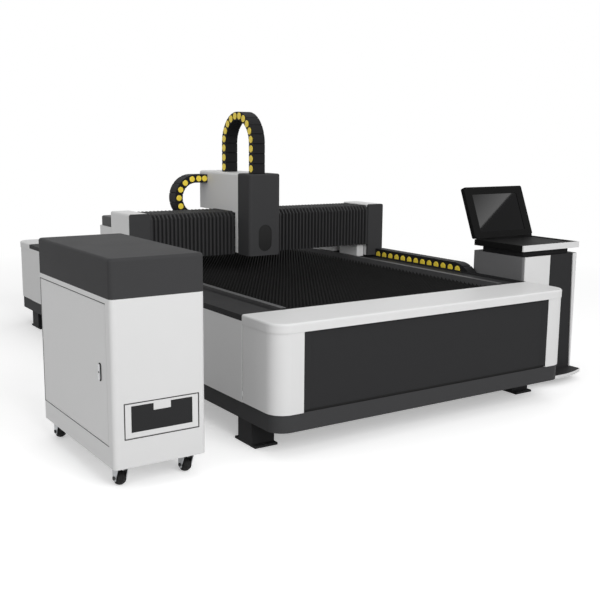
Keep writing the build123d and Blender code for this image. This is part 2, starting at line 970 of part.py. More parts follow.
def carriage_cover():
    """Rounded light box over the beam, open below."""
    x0, x1 = carriage_span()
    depth = (carriage_plate_front, carriage_box_back)
    box = bar((x0, x1), depth, (carriage_box_bottom, carriage_box_top))
    upright = box.edges().filter_by(Axis.Z).sort_by(Axis.Y)[-2:]
    rim = box.faces().sort_by(Axis.Z)[-1].edges()
    top_edges = rim.filter_by(Axis.Y) + rim.filter_by(Axis.X).sort_by(Axis.Y)[-1:]
    box = fillet(upright + top_edges, carriage_box_radius)
    hollow_x = (x0 + housing_wall, x1 - housing_wall)
    hollow_y = (depth[0] + housing_wall, depth[1] - housing_wall)
    hollow_top = carriage_box_top - housing_wall
    hollow = rounded_bar(
        hollow_x, hollow_y, (carriage_box_bottom, hollow_top), carriage_box_radius - housing_wall
    )
    ceiling = hollow.faces().sort_by(Axis.Z)[-1]
    return box - fillet(ceiling.edges(), carriage_box_radius - housing_wall - sheet)


def x_drive():
    """Servo motor on a cross plate inside the box, with its pinion beside the rack."""
    x0, x1 = carriage_span()
    x = (x0 + x1) / 2
    y = gantry_beam_front + gantry_beam_depth - x_rack_back_inset + fit_gap + pinion_radius
    bottom = carriage_box_bottom + x_drive_plate_rise
    top = bottom + drive_plate_thickness
    depth = (y - motor_width, y + motor_width)
    plate = bar((x0 + housing_wall, x1 - housing_wall), depth, (bottom, top))
    half = motor_width / 2
    motor = bar((x - half, x + half), (y - half, y + half), (top, top + x_motor_length))
    rise = gantry_beam_top + fit_gap
    pinion = pin((x, y, rise), (0, 0, 1), pinion_radius, x_rack_height)
    shaft = pin((x, y, rise), (0, 0, 1), drive_shaft_diameter / 2, bottom - rise)
    return plate + motor + pinion + shaft


def z_rails():
    """Two upright guide rails on the carriage plate."""
    x = sum(carriage_span()) / 2
    rails = []
    for side in (-1, 1):
        centre = x + side * z_rail_spacing / 2
        span = (centre - z_rail_width / 2, centre + z_rail_width / 2)
        depth = (carriage_plate_front - z_rail_height, carriage_plate_front)
        rails.append(bar(span, depth, (z_rail_bottom, z_rail_bottom + z_rail_length)))
    return rails


# Cutting head


def oval(width, height, front, back):
    """Upright oval prism on the head's middle, between two depths."""
    x = sum(carriage_span()) / 2
    face = Plane((x, back, window_centre), x_dir=(0, 0, 1), z_dir=(0, -1, 0)) * SlotOverall(height, width)
    return extrude(face, back - front)


def head_cover():
    """Dark rounded cover of the head, open behind and below, with the oval opening."""
    x0, x1 = carriage_span()
    back = carriage_plate_front - head_back_gap
    cover = bar((x0, x1), (head_front, back), (head_bottom, carriage_box_top))
    cover = fillet(cover.edges().filter_by(Axis.Z).sort_by(Axis.Y)[:2], head_edge_radius)
    rim = cover.faces().sort_by(Axis.Z)[-1].edges()
    cover = fillet([edge for edge in rim if edge.center().Y < back - fit_gap], head_top_radius)
    depth = (head_front + sheet, back + cut_overrun)
    hollow = bar((x0 + sheet, x1 - sheet), depth, (head_bottom - cut_overrun, carriage_box_top - sheet))
    hollow = fillet(hollow.edges().filter_by(Axis.Z).sort_by(Axis.Y)[:2], head_edge_radius - sheet)
    rim = hollow.faces().sort_by(Axis.Z)[-1].edges()
    inside = [edge for edge in rim if edge.center().Y < back]
    hollow = fillet(inside, head_top_radius - sheet)
    return cover - hollow - oval(window_width, window_height, head_front - sheet, head_front + 2 * sheet)


def head_window():
    """Dark oval window behind the cover's opening."""
    rim = 2 * window_rim
    front = head_front + sheet
    return oval(window_width + rim, window_height + rim, front, front + window_thickness)


def z_slide():
    """Plate across the inside of the head cover, in front of the upright rails."""
    x0, x1 = carriage_span()
    back = carriage_plate_front - z_rail_height - fit_gap
    height = (z_slide_bottom, z_slide_bottom + z_slide_height)
    return bar((x0 + sheet, x1 - sheet), (back - z_slide_thickness, back), height)


def head_axis_y():
    """Depth of the beam's axis through the nozzle."""
    front = carriage_plate_front - z_rail_height - fit_gap - z_slide_thickness
    return front - laser_body_width / 2


def laser_head():
    """Head body on the slide, with its round barrel below."""
    x = sum(carriage_span()) / 2
    y = head_axis_y()
    half = laser_body_width / 2
    height = (laser_body_bottom, laser_body_bottom + laser_body_height)
    body = rounded_bar((x - half, x + half), (y - half, y + half), height, laser_body_radius)
    barrel_length = laser_body_bottom - laser_barrel_bottom
    barrel_start = (x, y, laser_barrel_bottom)
    return body + pin(barrel_start, (0, 0, 1), laser_barrel_diameter / 2, barrel_length)


def nozzle():
    """Copper cone with the gas bore at its tip."""
    height = laser_barrel_bottom - nozzle_tip
    profile = [
        (nozzle_bore / 2, 0),
        (nozzle_tip_diameter / 2, 0),
        (nozzle_diameter / 2, height / 2),
        (nozzle_diameter / 2, height),
        (nozzle_bore / 2, height),
    ]
    face = Face(Wire.make_polygon([(radius, 0, z) for radius, z in profile]))
    x = sum(carriage_span()) / 2
    return Pos(x, head_axis_y(), nozzle_tip) * revolve(face, Axis.Z)


# Cabinet


def cabinet_spans():
    """Spans of the cabinet's plan."""
    return (cabinet_left, cabinet_left + cabinet_width), (cabinet_front, cabinet_front + cabinet_depth)


def door_span():
    """Y span of the opening in the cabinet's left side."""
    front, back = cabinet_spans()[1]
    return (front + door_front_inset, back - door_back_inset)


def drawer_span():
    """X span of the drawer's opening."""
    left = cabinet_left + drawer_left_inset
    return (left, left + drawer_width)


def hinge_axis():
    """X and y of the door's hinge pins."""
    return (cabinet_left + door_thickness / 2, door_span()[1] - door_gap - door_thickness / 2)


def hinge_pins(radius):
    """Upright pins at the door's top and bottom."""
    x, y = hinge_axis()
    top = pin((x, y, door_top - door_gap), (0, 0, 1), radius, hinge_pin_length)
    bottom = pin((x, y, door_bottom + door_gap), (0, 0, -1), radius, hinge_pin_length)
    return [top, bottom]


def caster_places():
    """Swivel axes of the four casters."""
    (x0, x1), (y0, y1) = cabinet_spans()
    columns = (x0 + caster_side_inset, x1 - caster_side_inset)
    rows = (y0 + caster_end_inset, y1 - caster_end_inset)
    return [(x, y) for x in columns for y in rows]


def cabinet_body():
    """Folded cabinet with a framed door opening, a drawer opening and caster sockets."""
    (x0, x1), (y0, y1) = cabinet_spans()
    body = rounded_bar((x0, x1), (y0, y1), (cabinet_bottom, cabinet_body_top), cabinet_radius)
    inner_x = (x0 + sheet, x1 - sheet)
    inner_y = (y0 + sheet, y1 - sheet)
    inner_z = (cabinet_bottom + sheet, cabinet_body_top - sheet)
    body -= rounded_bar(inner_x, inner_y, inner_z, cabinet_radius - sheet)
    front, back = door_span()
    frame_x = (x0 + sheet, x0 + sheet + door_frame_depth)
    frame = bar(frame_x, (front - sheet, back + sheet), (door_bottom - sheet, door_top + sheet))
    body += frame
    body -= bar((x0 - cut_overrun, x0 + sheet + door_frame_depth), (front, back), (door_bottom, door_top))
    drawer_z = (drawer_bottom, drawer_bottom + drawer_height)
    body -= bar(drawer_span(), (y0 - cut_overrun, y0 + sheet), drawer_z)
    for hole in hinge_pins(hinge_pin_diameter / 2 + fit_gap):
        body -= hole
    for x, y in caster_places():
        body -= pin((x, y, cabinet_bottom), (0, 0, 1), stem_diameter / 2 + fit_gap, sheet)
    return body


def cabinet_top():
    """Dark cap with rounded edges, open below."""
    (x0, x1), (y0, y1) = cabinet_spans()
    top = cabinet_body_top + cabinet_top_height
    cap = rounded_bar((x0, x1), (y0, y1), (cabinet_body_top, top), cabinet_radius)
    cap = fillet(cap.faces().sort_by(Axis.Z)[-1].edges(), cabinet_cap_radius)
    inner_x = (x0 + sheet, x1 - sheet)
    inner_y = (y0 + sheet, y1 - sheet)
    inner = rounded_bar(inner_x, inner_y, (cabinet_body_top, top - sheet), cabinet_radius - sheet)
    return cap - fillet(inner.faces().sort_by(Axis.Z)[-1].edges(), cabinet_cap_radius - sheet)


def cabinet_door():
    """Folded door pan with a rounded hinge edge and its two pins."""
    front, back = door_span()
    depth = (front + door_gap, back - door_gap)
    height = (door_bottom + door_gap, door_top - door_gap)
    door = bar((cabinet_left, cabinet_left + door_thickness), depth, height)
    hinge_edges = door.edges().filter_by(Axis.Z).sort_by(Axis.Y)[-2:]
    door = fillet(hinge_edges, door_thickness / 2 - fit_gap)
    inside = (depth[0] + sheet, depth[1] - door_thickness)
    inside_x = (cabinet_left + sheet, cabinet_left + door_thickness)
    door -= bar(inside_x, inside, (height[0] + sheet, height[1] - sheet))
    for stub in hinge_pins(hinge_pin_diameter / 2):
        door += stub
    y = front + latch_front_inset - door_front_inset
    hole_radius = latch_spindle_diameter / 2 + fit_gap
    return door - pin((cabinet_left, y, latch_centre), (1, 0, 0), hole_radius, sheet)


def door_latch():
    """Oval turning latch on a spindle through the door."""
    y = cabinet_front + latch_front_inset
    face = Plane((cabinet_left - fit_gap, y, latch_centre), x_dir=(0, 0, 1), z_dir=(-1, 0, 0))
    grip = extrude(face * SlotOverall(latch_height, latch_width), latch_thickness)
    spindle_length = sheet + fit_gap + latch_thickness / 2
    spindle_start = (cabinet_left - fit_gap, y, latch_centre)
    return grip + pin(spindle_start, (1, 0, 0), latch_spindle_diameter / 2, spindle_length)


def inset_spans():
    """X and z spans of the dark panel on the drawer's front."""
    x0, x1 = drawer_span()
    bottom = drawer_bottom + inset_bottom_margin
    return (x0 + inset_side_margin, x1 - inset_side_margin), (bottom, bottom + inset_height)


def inset_outline():
    """Panel outline with a notch at its top for the drawer's finger tab."""
    (x0, x1), (z0, z1) = inset_spans()
    middle = (x0 + x1) / 2
    left = middle - tab_width / 2
    right = middle + tab_width / 2
    notch = [(right, z1), (right, z1 - tab_height), (left, z1 - tab_height), (left, z1)]
    return [(x0, z1), (x0, z0), (x1, z0), (x1, z1)] + notch


def cabinet_drawer():
    """Drawer with a flush front, a recess for the dark panel and an open tray."""
    x0, x1 = drawer_span()
    back = cabinet_front + drawer_front_thickness
    height = (drawer_bottom + door_gap, drawer_bottom + drawer_height - door_gap)
    drawer = bar((x0 + door_gap, x1 - door_gap), (cabinet_front, back), height)
    drawer -= along_y(inset_outline(), cabinet_front, cabinet_front + inset_thickness)
    tray_x = (x0 + drawer_side_inset, x1 - drawer_side_inset)
    bottom = drawer_bottom + drawer_tray_rise
    top = bottom + drawer_tray_height
    tray = bar(tray_x, (back, cabinet_front + drawer_depth), (bottom, top))
    inner_y = (back, cabinet_front + drawer_depth - sheet)
    tray -= bar((tray_x[0] + sheet, tray_x[1] - sheet), inner_y, (bottom + sheet, top))
    return drawer + tray


def drawer_inset():
    """Dark panel in the drawer's front, set a little back from it."""
    return along_y(inset_outline(), cabinet_front + inset_thickness / 2, cabinet_front + inset_thickness)


def drawer_runners():
    """Folded runners on the cabinet's floor, whose ledges carry the drawer's tray."""
    x0, x1 = drawer_span()
    ledge = drawer_bottom + drawer_tray_rise - fit_gap
    floor = cabinet_bottom + sheet
    depth = (cabinet_front + runner_end_gap, cabinet_front + drawer_depth)
    left = x0 + drawer_side_inset - runner_web_gap
    right = x1 - drawer_side_inset + runner_web_gap
    runners = []
    for web, inwards in ((left, 1), (right, -1)):
        path = [(web - inwards * runner_ledge, floor), (web, floor), (web, ledge)]
        foot = folded(path, inwards * sheet)
        head = bar(sorted((web, web + inwards * runner_ledge)), depth, (ledge - sheet, ledge))
        runners.append(along_y(foot, *depth) + head)
    return runners


def laser_source():
    """Housing of the laser source, which stands on the cabinet's floor behind the drawer."""
    (x0, x1), (y0, y1) = cabinet_spans()
    middle = (x0 + x1) / 2
    floor = cabinet_bottom + sheet
    back = y1 - laser_source_back_gap
    x_span = (middle - laser_source_width / 2, middle + laser_source_width / 2)
    y_span = (back - laser_source_depth, back)
    top = floor + laser_source_height
    housing = rounded_bar(x_span, y_span, (floor, top), laser_source_radius)
    inner_x = (x_span[0] + sheet, x_span[1] - sheet)
    inner_y = (y_span[0] + sheet, y_span[1] - sheet)
    return housing - rounded_bar(inner_x, inner_y, (floor, top - sheet), laser_source_radius - sheet)


def caster_fork(x, y):
    """Folded swivel fork with rounded cheeks, its stem and its axle."""
    top = cabinet_bottom - fit_gap
    crown = top - fork_sheet
    half = wheel_width / 2 + fork_side_gap
    outer = half + fork_sheet
    front = y - fork_length / 2
    back = y + caster_trail
    cheek = [
        (front, top),
        (back + cheek_radius, top),
        (back + cheek_radius, wheel_radius),
        (back - cheek_radius, wheel_radius),
        (front, crown),
    ]
    fork = bar((x - outer, x + outer), (front, back + cheek_radius), (crown, top))
    for inner in (x - outer, x + half):
        fork += along_x(cheek, inner, inner + fork_sheet)
        fork += pin((inner, back, wheel_radius), (1, 0, 0), cheek_radius, fork_sheet)
    fork += pin((x, y, crown), (0, 0, 1), stem_diameter / 2, fork_sheet + fit_gap + sheet)
    return fork + pin((x - outer, back, wheel_radius), (1, 0, 0), axle_diameter / 2, 2 * outer)


def caster_wheel(x, y):
    """Wheel on the fork's axle."""
    start = (x - wheel_width / 2, y + caster_trail, wheel_radius)
    tyre = pin(start, (1, 0, 0), wheel_radius, wheel_width)
    return tyre - pin(start, (1, 0, 0), wheel_bore_diameter / 2, wheel_width)


# Console


def console_spans():
    """Spans of the console body's plan."""
    return (console_left, console_left + console_width), (console_front, console_front + console_depth)


def console_body():
    """Folded console housing with the narrower neck on top, open below."""
    (x0, x1), (y0, y1) = console_spans()
    body = rounded_bar((x0, x1), (y0, y1), (console_bottom, console_top), console_radius)
    inner_x = (x0 + sheet, x1 - sheet)
    inner_y = (y0 + sheet, y1 - sheet)
    body -= rounded_bar(inner_x, inner_y, (console_bottom, console_top - sheet), console_radius - sheet)
    neck_x = (x0 + neck_side_inset, x1 - neck_side_inset)
    neck_y = (y0 + neck_end_inset, y1 - neck_end_inset)
    neck_top = console_top + neck_height
    body += bar(neck_x, neck_y, (console_top, neck_top))
    bore_x = (neck_x[0] + sheet, neck_x[1] - sheet)
    bore_y = (neck_y[0] + sheet, neck_y[1] - sheet)
    return body - bar(bore_x, bore_y, (console_top - sheet, neck_top - sheet))


def console_front_panels():
    """Light column on the front's left half and the light strip that tapers down its right edge."""
    (x0, x1), (y0, y1) = console_spans()
    depth = (y0 - console_panel_thickness, y0)
    column = bar((x0 + console_radius, x0 + console_panel_width), depth, (console_bottom, console_top))
    edge = x1 - console_radius
    strip = [
        (edge, console_bottom),
        (edge, console_top),
        (x1 - console_edge_top_width, console_top),
        (x1 - console_edge_bottom_width, console_bottom),
    ]
    return [column, along_y(strip, *depth)]


def console_base():
    """Base plate whose front edge bows forward of the body."""
    (x0, x1), (y0, y1) = console_spans()
    left = x0 + console_base_side_gap
    right = x1 - console_base_side_gap
    front = y0 - console_base_reach + console_base_bow
    bow = ThreePointArc((left, front), ((left + right) / 2, front - console_base_bow), (right, front))
    rest = Polyline((right, front), (right, y1), (left, y1), (left, front))
    plan = make_face([bow, rest])
    bottom = console_bottom - console_base_thickness
    return extrude(Pos(0, 0, bottom) * plan, console_base_thickness)


def console_casters():
    """Four small casters under the base plate."""
    (x0, x1), (y0, y1) = console_spans()
    front = y0 - console_base_reach + console_base_bow
    rows = (front + console_caster_end_inset, y1 - console_caster_end_inset)
    bottom = console_bottom - console_base_thickness
    casters = []
    for x in (x0 + console_caster_side_inset, x1 - console_caster_side_inset):
        for y in rows:
            half = console_wheel_width / 2
            start = (x - half, y, console_wheel_radius)
            wheel = pin(start, (1, 0, 0), console_wheel_radius, console_wheel_width)
            outer = half + fork_sheet
            tip = (y, console_wheel_radius / 2)
            cheek = [(y - stem_diameter, bottom), (y + stem_diameter, bottom), tip]
            fork = along_x(cheek, x - outer, x - half) + along_x(cheek, x + half, x + outer)
            hood_y = (y - stem_diameter, y + stem_diameter)
            hood = bar((x - outer, x + outer), hood_y, (bottom - fork_sheet, bottom))
            casters.append(wheel + fork + hood)
    return casters


def tray_spans():
    """Spans of the keyboard tray."""
    (x0, x1), (y0, y1) = console_spans()
    front = y0 - tray_front_overhang
    return (x0 - tray_side_overhang, x1 + tray_right_overhang), (front, front + tray_depth)


def console_tray():
    """Black keyboard tray with a shallow recessed deck and the fixed barrels of the monitor's hinge."""
    (x0, x1), (y0, y1) = tray_spans()
    bottom = console_top + neck_height
    top = bottom + tray_height
    tray = bar((x0, x1), (y0 + tray_edge_thickness, y1), (bottom, top))
    rim = tray_edge_thickness
    deck_y = (y0 + 2 * rim, y1 - 2 * monitor_back_inset)
    tray -= bar((x0 + rim, x1 - rim), deck_y, (top - deck_recess, top))
    x, y, z = monitor_pivot()
    ear = [
        (y - hinge_barrel_radius, top),
        (y + hinge_barrel_radius, top),
        (y + hinge_barrel_radius, z),
        (y - hinge_barrel_radius, z),
    ]
    reach = hinge_barrel_length / 2 + fit_gap
    inner = hinge_spacing / 2 - reach
    outer = hinge_spacing / 2 + reach
    end = monitor_width / 2 - monitor_radius
    for start, stop in ((-end, -outer), (-inner, inner), (outer, end)):
        tray += along_x(ear, x + start, x + stop)
        tray += pin((x + start, y, z), (1, 0, 0), hinge_barrel_radius, stop - start)
    return tray


def tray_edge():
    """Light strip along the tray's front."""
    (x0, x1), (y0, y1) = tray_spans()
    bottom = console_top + neck_height
    return bar((x0, x1), (y0, y0 + tray_edge_thickness), (bottom, bottom + tray_height))


def monitor_pivot():
    """Point on the monitor's hinge axis, over the tray's back edge."""
    (x0, x1), (y0, y1) = tray_spans()
    tray_top = console_top + neck_height + tray_height
    return ((x0 + x1) / 2, y1 - monitor_back_inset, tray_top + monitor_pivot_rise)


def leaning(shape):
    """Upright monitor piece, made round the pivot, set in place at the monitor's lean."""
    return Pos(*monitor_pivot()) * Rot(-monitor_lean, 0, 0) * shape


def monitor_panel(width, bottom, height, front, back, radius):
    """Upright panel round the pivot with rounded corners."""
    face = Plane((0, back, bottom + height / 2), x_dir=(1, 0, 0), z_dir=(0, -1, 0))
    return extrude(face * RectangleRounded(width, height, radius), back - front)


def screen_panel(front, back):
    """Panel of the screen's size, in its place on the case."""
    width = monitor_width - 2 * monitor_side_bezel
    bottom = hinge_barrel_radius + fit_gap + monitor_bottom_bezel
    height = monitor_height - monitor_bottom_bezel - monitor_top_bezel
    return monitor_panel(width, bottom, height, front, back, fit_gap)


def monitor():
    """Monitor case with a recess for the screen and the barrels of its hinge."""
    front = -monitor_face_offset
    rise = hinge_barrel_radius + fit_gap
    back = front + monitor_thickness
    case = monitor_panel(monitor_width, rise, monitor_height, front, back, monitor_radius)
    case -= screen_panel(front - cut_overrun, front + screen_recess + screen_thickness)
    for side in (-1, 1):
        start = side * hinge_spacing / 2 - hinge_barrel_length / 2
        case += pin((start, 0, 0), (1, 0, 0), hinge_barrel_radius, hinge_barrel_length)
        arm_depth = (front, hinge_barrel_radius)
        case += bar((start, start + hinge_barrel_length), arm_depth, (0, rise + monitor_radius / 2))
    return leaning(case)


def monitor_screen():
    """Glass screen at the bottom of the case's recess."""
    front = screen_recess - monitor_face_offset
    return leaning(screen_panel(front, front + screen_thickness))


nodes = {
    "base_frame": base_frame(),
    "machine_feet": machine_feet(),
    "plinth": plinth(),
    "front_cover": front_cover(),
    "front_panel": front_panel(),
    "rear_cover": rear_cover(),
    "side_covers": side_covers(),
    "left_rail_cover": left_rail_cover(),
    "right_rail_cover": right_rail_cover(),
    "inner_guards": inner_guards(),
    "y_guides": y_guides(),
    "slat_supports": slat_supports(),
    "slats": slats(),
    "slag_tray": slag_tray(),
    "y_chain": y_chain(),
    "gantry_beam": gantry_beam(),
    "gantry_saddles": gantry_saddles(),
    "end_covers": end_covers(),
    "end_fronts": end_fronts(),
    "drive_covers": drive_covers(),
    "y_drives": y_drives(),
    "x_guides": x_guides(),
    "x_chain_tray": x_chain_tray(),
    "left_bellows": left_bellows(),
    "right_bellows": right_bellows(),
    "x_chain": x_chain(),
    "carriage_plate": carriage_plate(),
    "carriage_cover": carriage_cover(),
    "x_drive": x_drive(),
    "z_rails": z_rails(),
    "z_chain": z_chain(),
    "head_cover": head_cover(),
    "head_window": head_window(),
    "z_slide": z_slide(),
    "laser_head": laser_head(),
    "nozzle": nozzle(),
    "cabinet_body": cabinet_body(),
    "cabinet_top": cabinet_top(),
    "cabinet_door": cabinet_door(),
    "door_latch": door_latch(),
    "cabinet_drawer": cabinet_drawer(),
    "drawer_inset": drawer_inset(),
    "drawer_runners": drawer_runners(),
    "laser_source": laser_source(),
    "console_body": console_body(),
    "console_front_panels": console_front_panels(),
    "console_base": console_base(),
    "console_casters": console_casters(),
    "console_tray": console_tray(),
    "tray_edge": tray_edge(),
    "monitor": monitor(),
    "monitor_screen": monitor_screen(),
}
for number, place in enumerate(caster_places(), start=1):
    nodes[f"caster_fork_{number}"] = caster_fork(*place)
    nodes[f"caster_wheel_{number}"] = caster_wheel(*place)

os.makedirs("parts", exist_ok=True)
for name, shape in nodes.items():
    solids = Compound(shape) if isinstance(shape, list) else shape
    export_step(solids, f"parts/{name}.step")
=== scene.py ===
import math

import bmesh
import bpy
from mathutils import Matrix, Vector


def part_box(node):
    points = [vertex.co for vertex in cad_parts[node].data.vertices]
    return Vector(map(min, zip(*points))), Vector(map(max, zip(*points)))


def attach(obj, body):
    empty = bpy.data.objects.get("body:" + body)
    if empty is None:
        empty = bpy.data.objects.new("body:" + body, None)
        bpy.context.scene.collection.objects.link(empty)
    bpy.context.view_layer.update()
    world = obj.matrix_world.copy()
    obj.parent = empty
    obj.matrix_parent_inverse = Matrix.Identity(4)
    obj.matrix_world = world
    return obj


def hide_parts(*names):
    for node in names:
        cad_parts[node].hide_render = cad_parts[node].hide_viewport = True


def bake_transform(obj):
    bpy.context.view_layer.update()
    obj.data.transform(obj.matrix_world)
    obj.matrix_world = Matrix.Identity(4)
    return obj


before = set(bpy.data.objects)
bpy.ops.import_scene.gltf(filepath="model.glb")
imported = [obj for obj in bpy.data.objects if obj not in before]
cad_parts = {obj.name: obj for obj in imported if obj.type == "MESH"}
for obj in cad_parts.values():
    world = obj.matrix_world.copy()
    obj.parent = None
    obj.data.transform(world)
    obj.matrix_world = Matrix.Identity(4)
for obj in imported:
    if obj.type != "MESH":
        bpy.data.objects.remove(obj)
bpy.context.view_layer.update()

# Lengths are in metres, angles in degrees and lamps in watts, unless a comment says otherwise.

# Camera, solved from the photo's straight edges; lens and sensor in millimetres
camera_place = (-3.671, -6.279, 1.758)
camera_yaw = -33.66
camera_pitch = 79.75
camera_roll = 0.5
camera_lens = 55.26
camera_sensor = 36
camera_reach = 200

# Soft lights, each with its place, aim, side and power
softboxes = {
    "front_softbox": ((-1.0, -8.5, 4.0), (0, -1, 0.6), 5.0, 350),
    "top_softbox": ((0.0, 0.5, 6.5), (0, 0, 0), 7.0, 45),
    "left_softbox": ((-7.5, -2.5, 3.0), (-1, -1, 0.7), 4.0, 60),
}

# Light that the screen mirrors; it fades over a share of its width to a share of its strength
screen_light_length = 2.0
screen_light_width = 0.6
screen_light_power = 26
screen_light_distance = 6
screen_light_fade = 0.8
screen_light_end = 0.1

# White surroundings, and the floor that fades into them with the distance from the bed's middle
studio_strength = 0.5
white = "#FFFFFF"
floor_colour = "#F6F6F6"
floor_bounce_colour = "#B4B4B4"
floor_reach = 60
floor_glow = 0.36
floor_fade_start = 3.5
floor_fade_end = 7.0

# Noise in the surfaces. Sizes in millimetres: a cloud is the slow change of tone over a sheet,
# and flakes of mill scale are about 6 mm. The grain of powder coats and moulded plastics is
# 0.3 to 0.5 mm and the cloth's threads lie 0.8 mm apart; both are drawn coarser, so that they show.
cloud_size = 200.0
scale_flake = 6.25
coat_grain = 1.43
cloth_thread = 2.0
cloud_detail = 5.0
grain_detail = 2.0
grain_height = 0.0006
gloss_spread = 0.1
edge_samples = 4

# Gap between parts that fit into each other or slide, as in the part's source
fit_gap = 0.0003

# Slat table: slats and teeth of the solids, and how many are drawn for each
solid_slats = 32
solid_teeth = 22
slat_ratio = 3
tooth_ratio = 3
slat_thickness = 0.006
tooth_depth = 0.030
comb_width = 0.030
centre_comb_width = 0.020
slat_seat = 0.645

# Bellows: section as in the part's source, a pleat as shares of its pitch with their depths,
# the share of an end pleat that is a solid frame, and where a cover is cut into runs
bellows_front = -0.305
bellows_back = 0.0
bellows_bottom = 0.866
bellows_top = 1.185
bellows_bevel = 0.034
bellows_wall = 0.019
pleat_depth = 0.015
pleat_pitch = 0.031
pleat_profile = (
    (0.0, pleat_depth), (0.13, pleat_depth), (0.37, 0.0), (0.63, 0.0), (0.87, pleat_depth))
end_frame_share = 0.3
bellows_cuts = (0.08, 0.25, 0.75, 0.92)

# Drag chains: thickness as in the part's source, visible pitch, and cap radius per thickness
y_chain_thickness = 0.092
y_chain_pitch = 0.078
y_cap_share = 0.29
x_chain_thickness = 0.063
x_chain_pitch = 0.062
x_cap_share = 0.35
z_chain_thickness = 0.060
z_chain_pitch = 0.066
z_cap_share = 0.43

# One link: half its body's length and its bevel's per pitch, its bevel's height per thickness,
# its tongue's thickness per the body's, and the half widths of both per width
body_reach = 0.49
tongue_reach = 0.5
link_bevel_length = 0.05
link_bevel_height = 0.06
tongue_thickness = 0.94
body_half_width = 0.5
tongue_half_width = 0.49
link_steps = 4

# One cap: its height, and its rim as shares of radius and height
cap_height = 0.003
cap_profile = ((1.0, 0.0), (1.0, 0.6), (0.86, 1.0))
cap_sides = 20

# In a run with this many links or fewer, each cap is a piece of its own. The span is so long that a
# piece blended across it would have the same share of the motion all over; it is worked out but not
# used.
short_run = 3
steady_span = 2000.0

# Console: bow and rim of its base plate, and the corners of its body
base_bow = 0.060
rim_thickness = 0.002
rim_steps = 20
console_radius = 0.012
corner_steps = 6

# Dark strip under the front panel: painted shade in the gap below it
gap_shade_drop = 0.030
gap_shade_lap = 0.012
gap_shade_thickness = 0.004

# Cabinet casters: a wheel's side as shares of half width and radius, its tread, and its nuts
casters = range(1, 5)
wheel_side = ((1.0, 0.14), (1.0, 0.5), (0.88, 0.54), (0.88, 0.74), (1.0, 0.78))
wheel_steps = 40
tread_crown = 0.24
tread_steps = 8
groove_steps = (-4, 0, 4)
groove_depth = 0.045
nut_radius = 0.010
nut_height = 0.006
nut_sides = 6

# Cabinet door, drawer and latch; the dark strips round the door and drawer are painted shade of
# their gaps
trim_height = 0.0008
door_shade_width = 0.003
drawer_shade_width = 0.004
opening_gap = 0.002
hinge_pin_length = 0.014
latch_gap = 0.001
latch_bezel_width = 0.004
latch_bezel_height = 0.003
oval_steps = 16
keyhole_radius = 0.005
keyhole_sides = 24

scene = bpy.context.scene


def linear(hex_colour):
    """Scene-linear colour of a hex screen colour."""
    channels = [int(hex_colour[index:index + 2], 16) / 255 for index in (1, 3, 5)]
    return tuple(
        c / 12.92 if c <= 0.04045 else ((c + 0.055) / 1.055) ** 2.4 for c in channels) + (1.0,)


def scaled(colour, share):
    """A colour made lighter or darker."""
    return tuple(min(channel * share, 1.0) for channel in colour[:3]) + (1.0,)


def per_metre(millimetres):
    """Scale of a noise whose spots have this size."""
    return 1000 / millimetres


def add_node(tree, kind, inputs=None, **settings):
    """Adds a node, sets its properties, and sets each named input or links it to a socket."""
    item = tree.nodes.new(kind)
    for name, value in settings.items():
        setattr(item, name, value)
    for name, value in (inputs or {}).items():
        if isinstance(value, bpy.types.NodeSocket):
            tree.links.new(value, item.inputs[name])
        else:
            item.inputs[name].default_value = value
    return item


def surface(name, hex_colour, roughness, metallic=0.0, mottle=0.03, grain=0.1,
            grain_size=coat_grain, stretch=(1.0, 1.0, 1.0), edge=0.0015, shine=0.5, painted_shade_reach=0.0):
    """Surface with softened edges, whose tone, gloss and relief vary with noise in object space.

    Where a reach is given for it, painted shade darkens the colour where other faces stand within
    that distance.
    """
    material = bpy.data.materials.new(name)
    material.use_nodes = True
    tree = material.node_tree
    tree.nodes.clear()
    place = add_node(tree, "ShaderNodeTexCoord").outputs["Object"]
    drawn = add_node(tree, "ShaderNodeMapping", {
        "Vector": place, "Scale": stretch}).outputs["Vector"]
    cloud = add_node(tree, "ShaderNodeTexNoise", {
        "Vector": drawn, "Scale": per_metre(cloud_size), "Detail": cloud_detail}).outputs["Fac"]
    fine = add_node(tree, "ShaderNodeTexNoise", {
        "Vector": drawn, "Scale": per_metre(grain_size), "Detail": grain_detail}).outputs["Fac"]
    colour = linear(hex_colour)
    paint = colour
    if mottle:
        tone = add_node(tree, "ShaderNodeMix", {"Factor": cloud}, data_type="RGBA")
        for socket in tone.inputs:
            if socket.type == "RGBA":
                share = 1 - mottle if socket.name == "A" else 1 + mottle
                socket.default_value = scaled(colour, share)
        paint = [socket for socket in tone.outputs if socket.type == "RGBA"][0]
    # Painted shade: ambient occlusion darkens the colour in creases, folds and between teeth
    if painted_shade_reach:
        paint = add_node(tree, "ShaderNodeAmbientOcclusion", {
            "Color": paint, "Distance": painted_shade_reach}).outputs["Color"]
    gloss = add_node(tree, "ShaderNodeMapRange", {
        "Value": cloud,
        "To Min": roughness * (1 - gloss_spread),
        "To Max": roughness * (1 + gloss_spread),
    })
    soft = add_node(tree, "ShaderNodeBevel", {"Radius": edge}, samples=edge_samples)
    bump = add_node(tree, "ShaderNodeBump", {
        "Strength": grain,
        "Distance": grain_height,
        "Height": fine,
        "Normal": soft.outputs["Normal"],
    })
    shader = add_node(tree, "ShaderNodeBsdfPrincipled", {
        "Base Color": paint,
        "Metallic": metallic,
        "Roughness": gloss.outputs["Result"],
        "Specular IOR Level": shine,
        "Normal": bump.outputs["Normal"],
    })
    add_node(tree, "ShaderNodeOutputMaterial", {"Surface": shader.outputs["BSDF"]})
    material.diffuse_color = colour
    return material


# Powder-coated sheet steel, baked: an even, pale skin with soft, broad highlights
light_paint = surface(
    "light_grey_powder_coat", "#DCDCDC", 0.45, mottle=0.012, grain=0.12, shine=0.3)
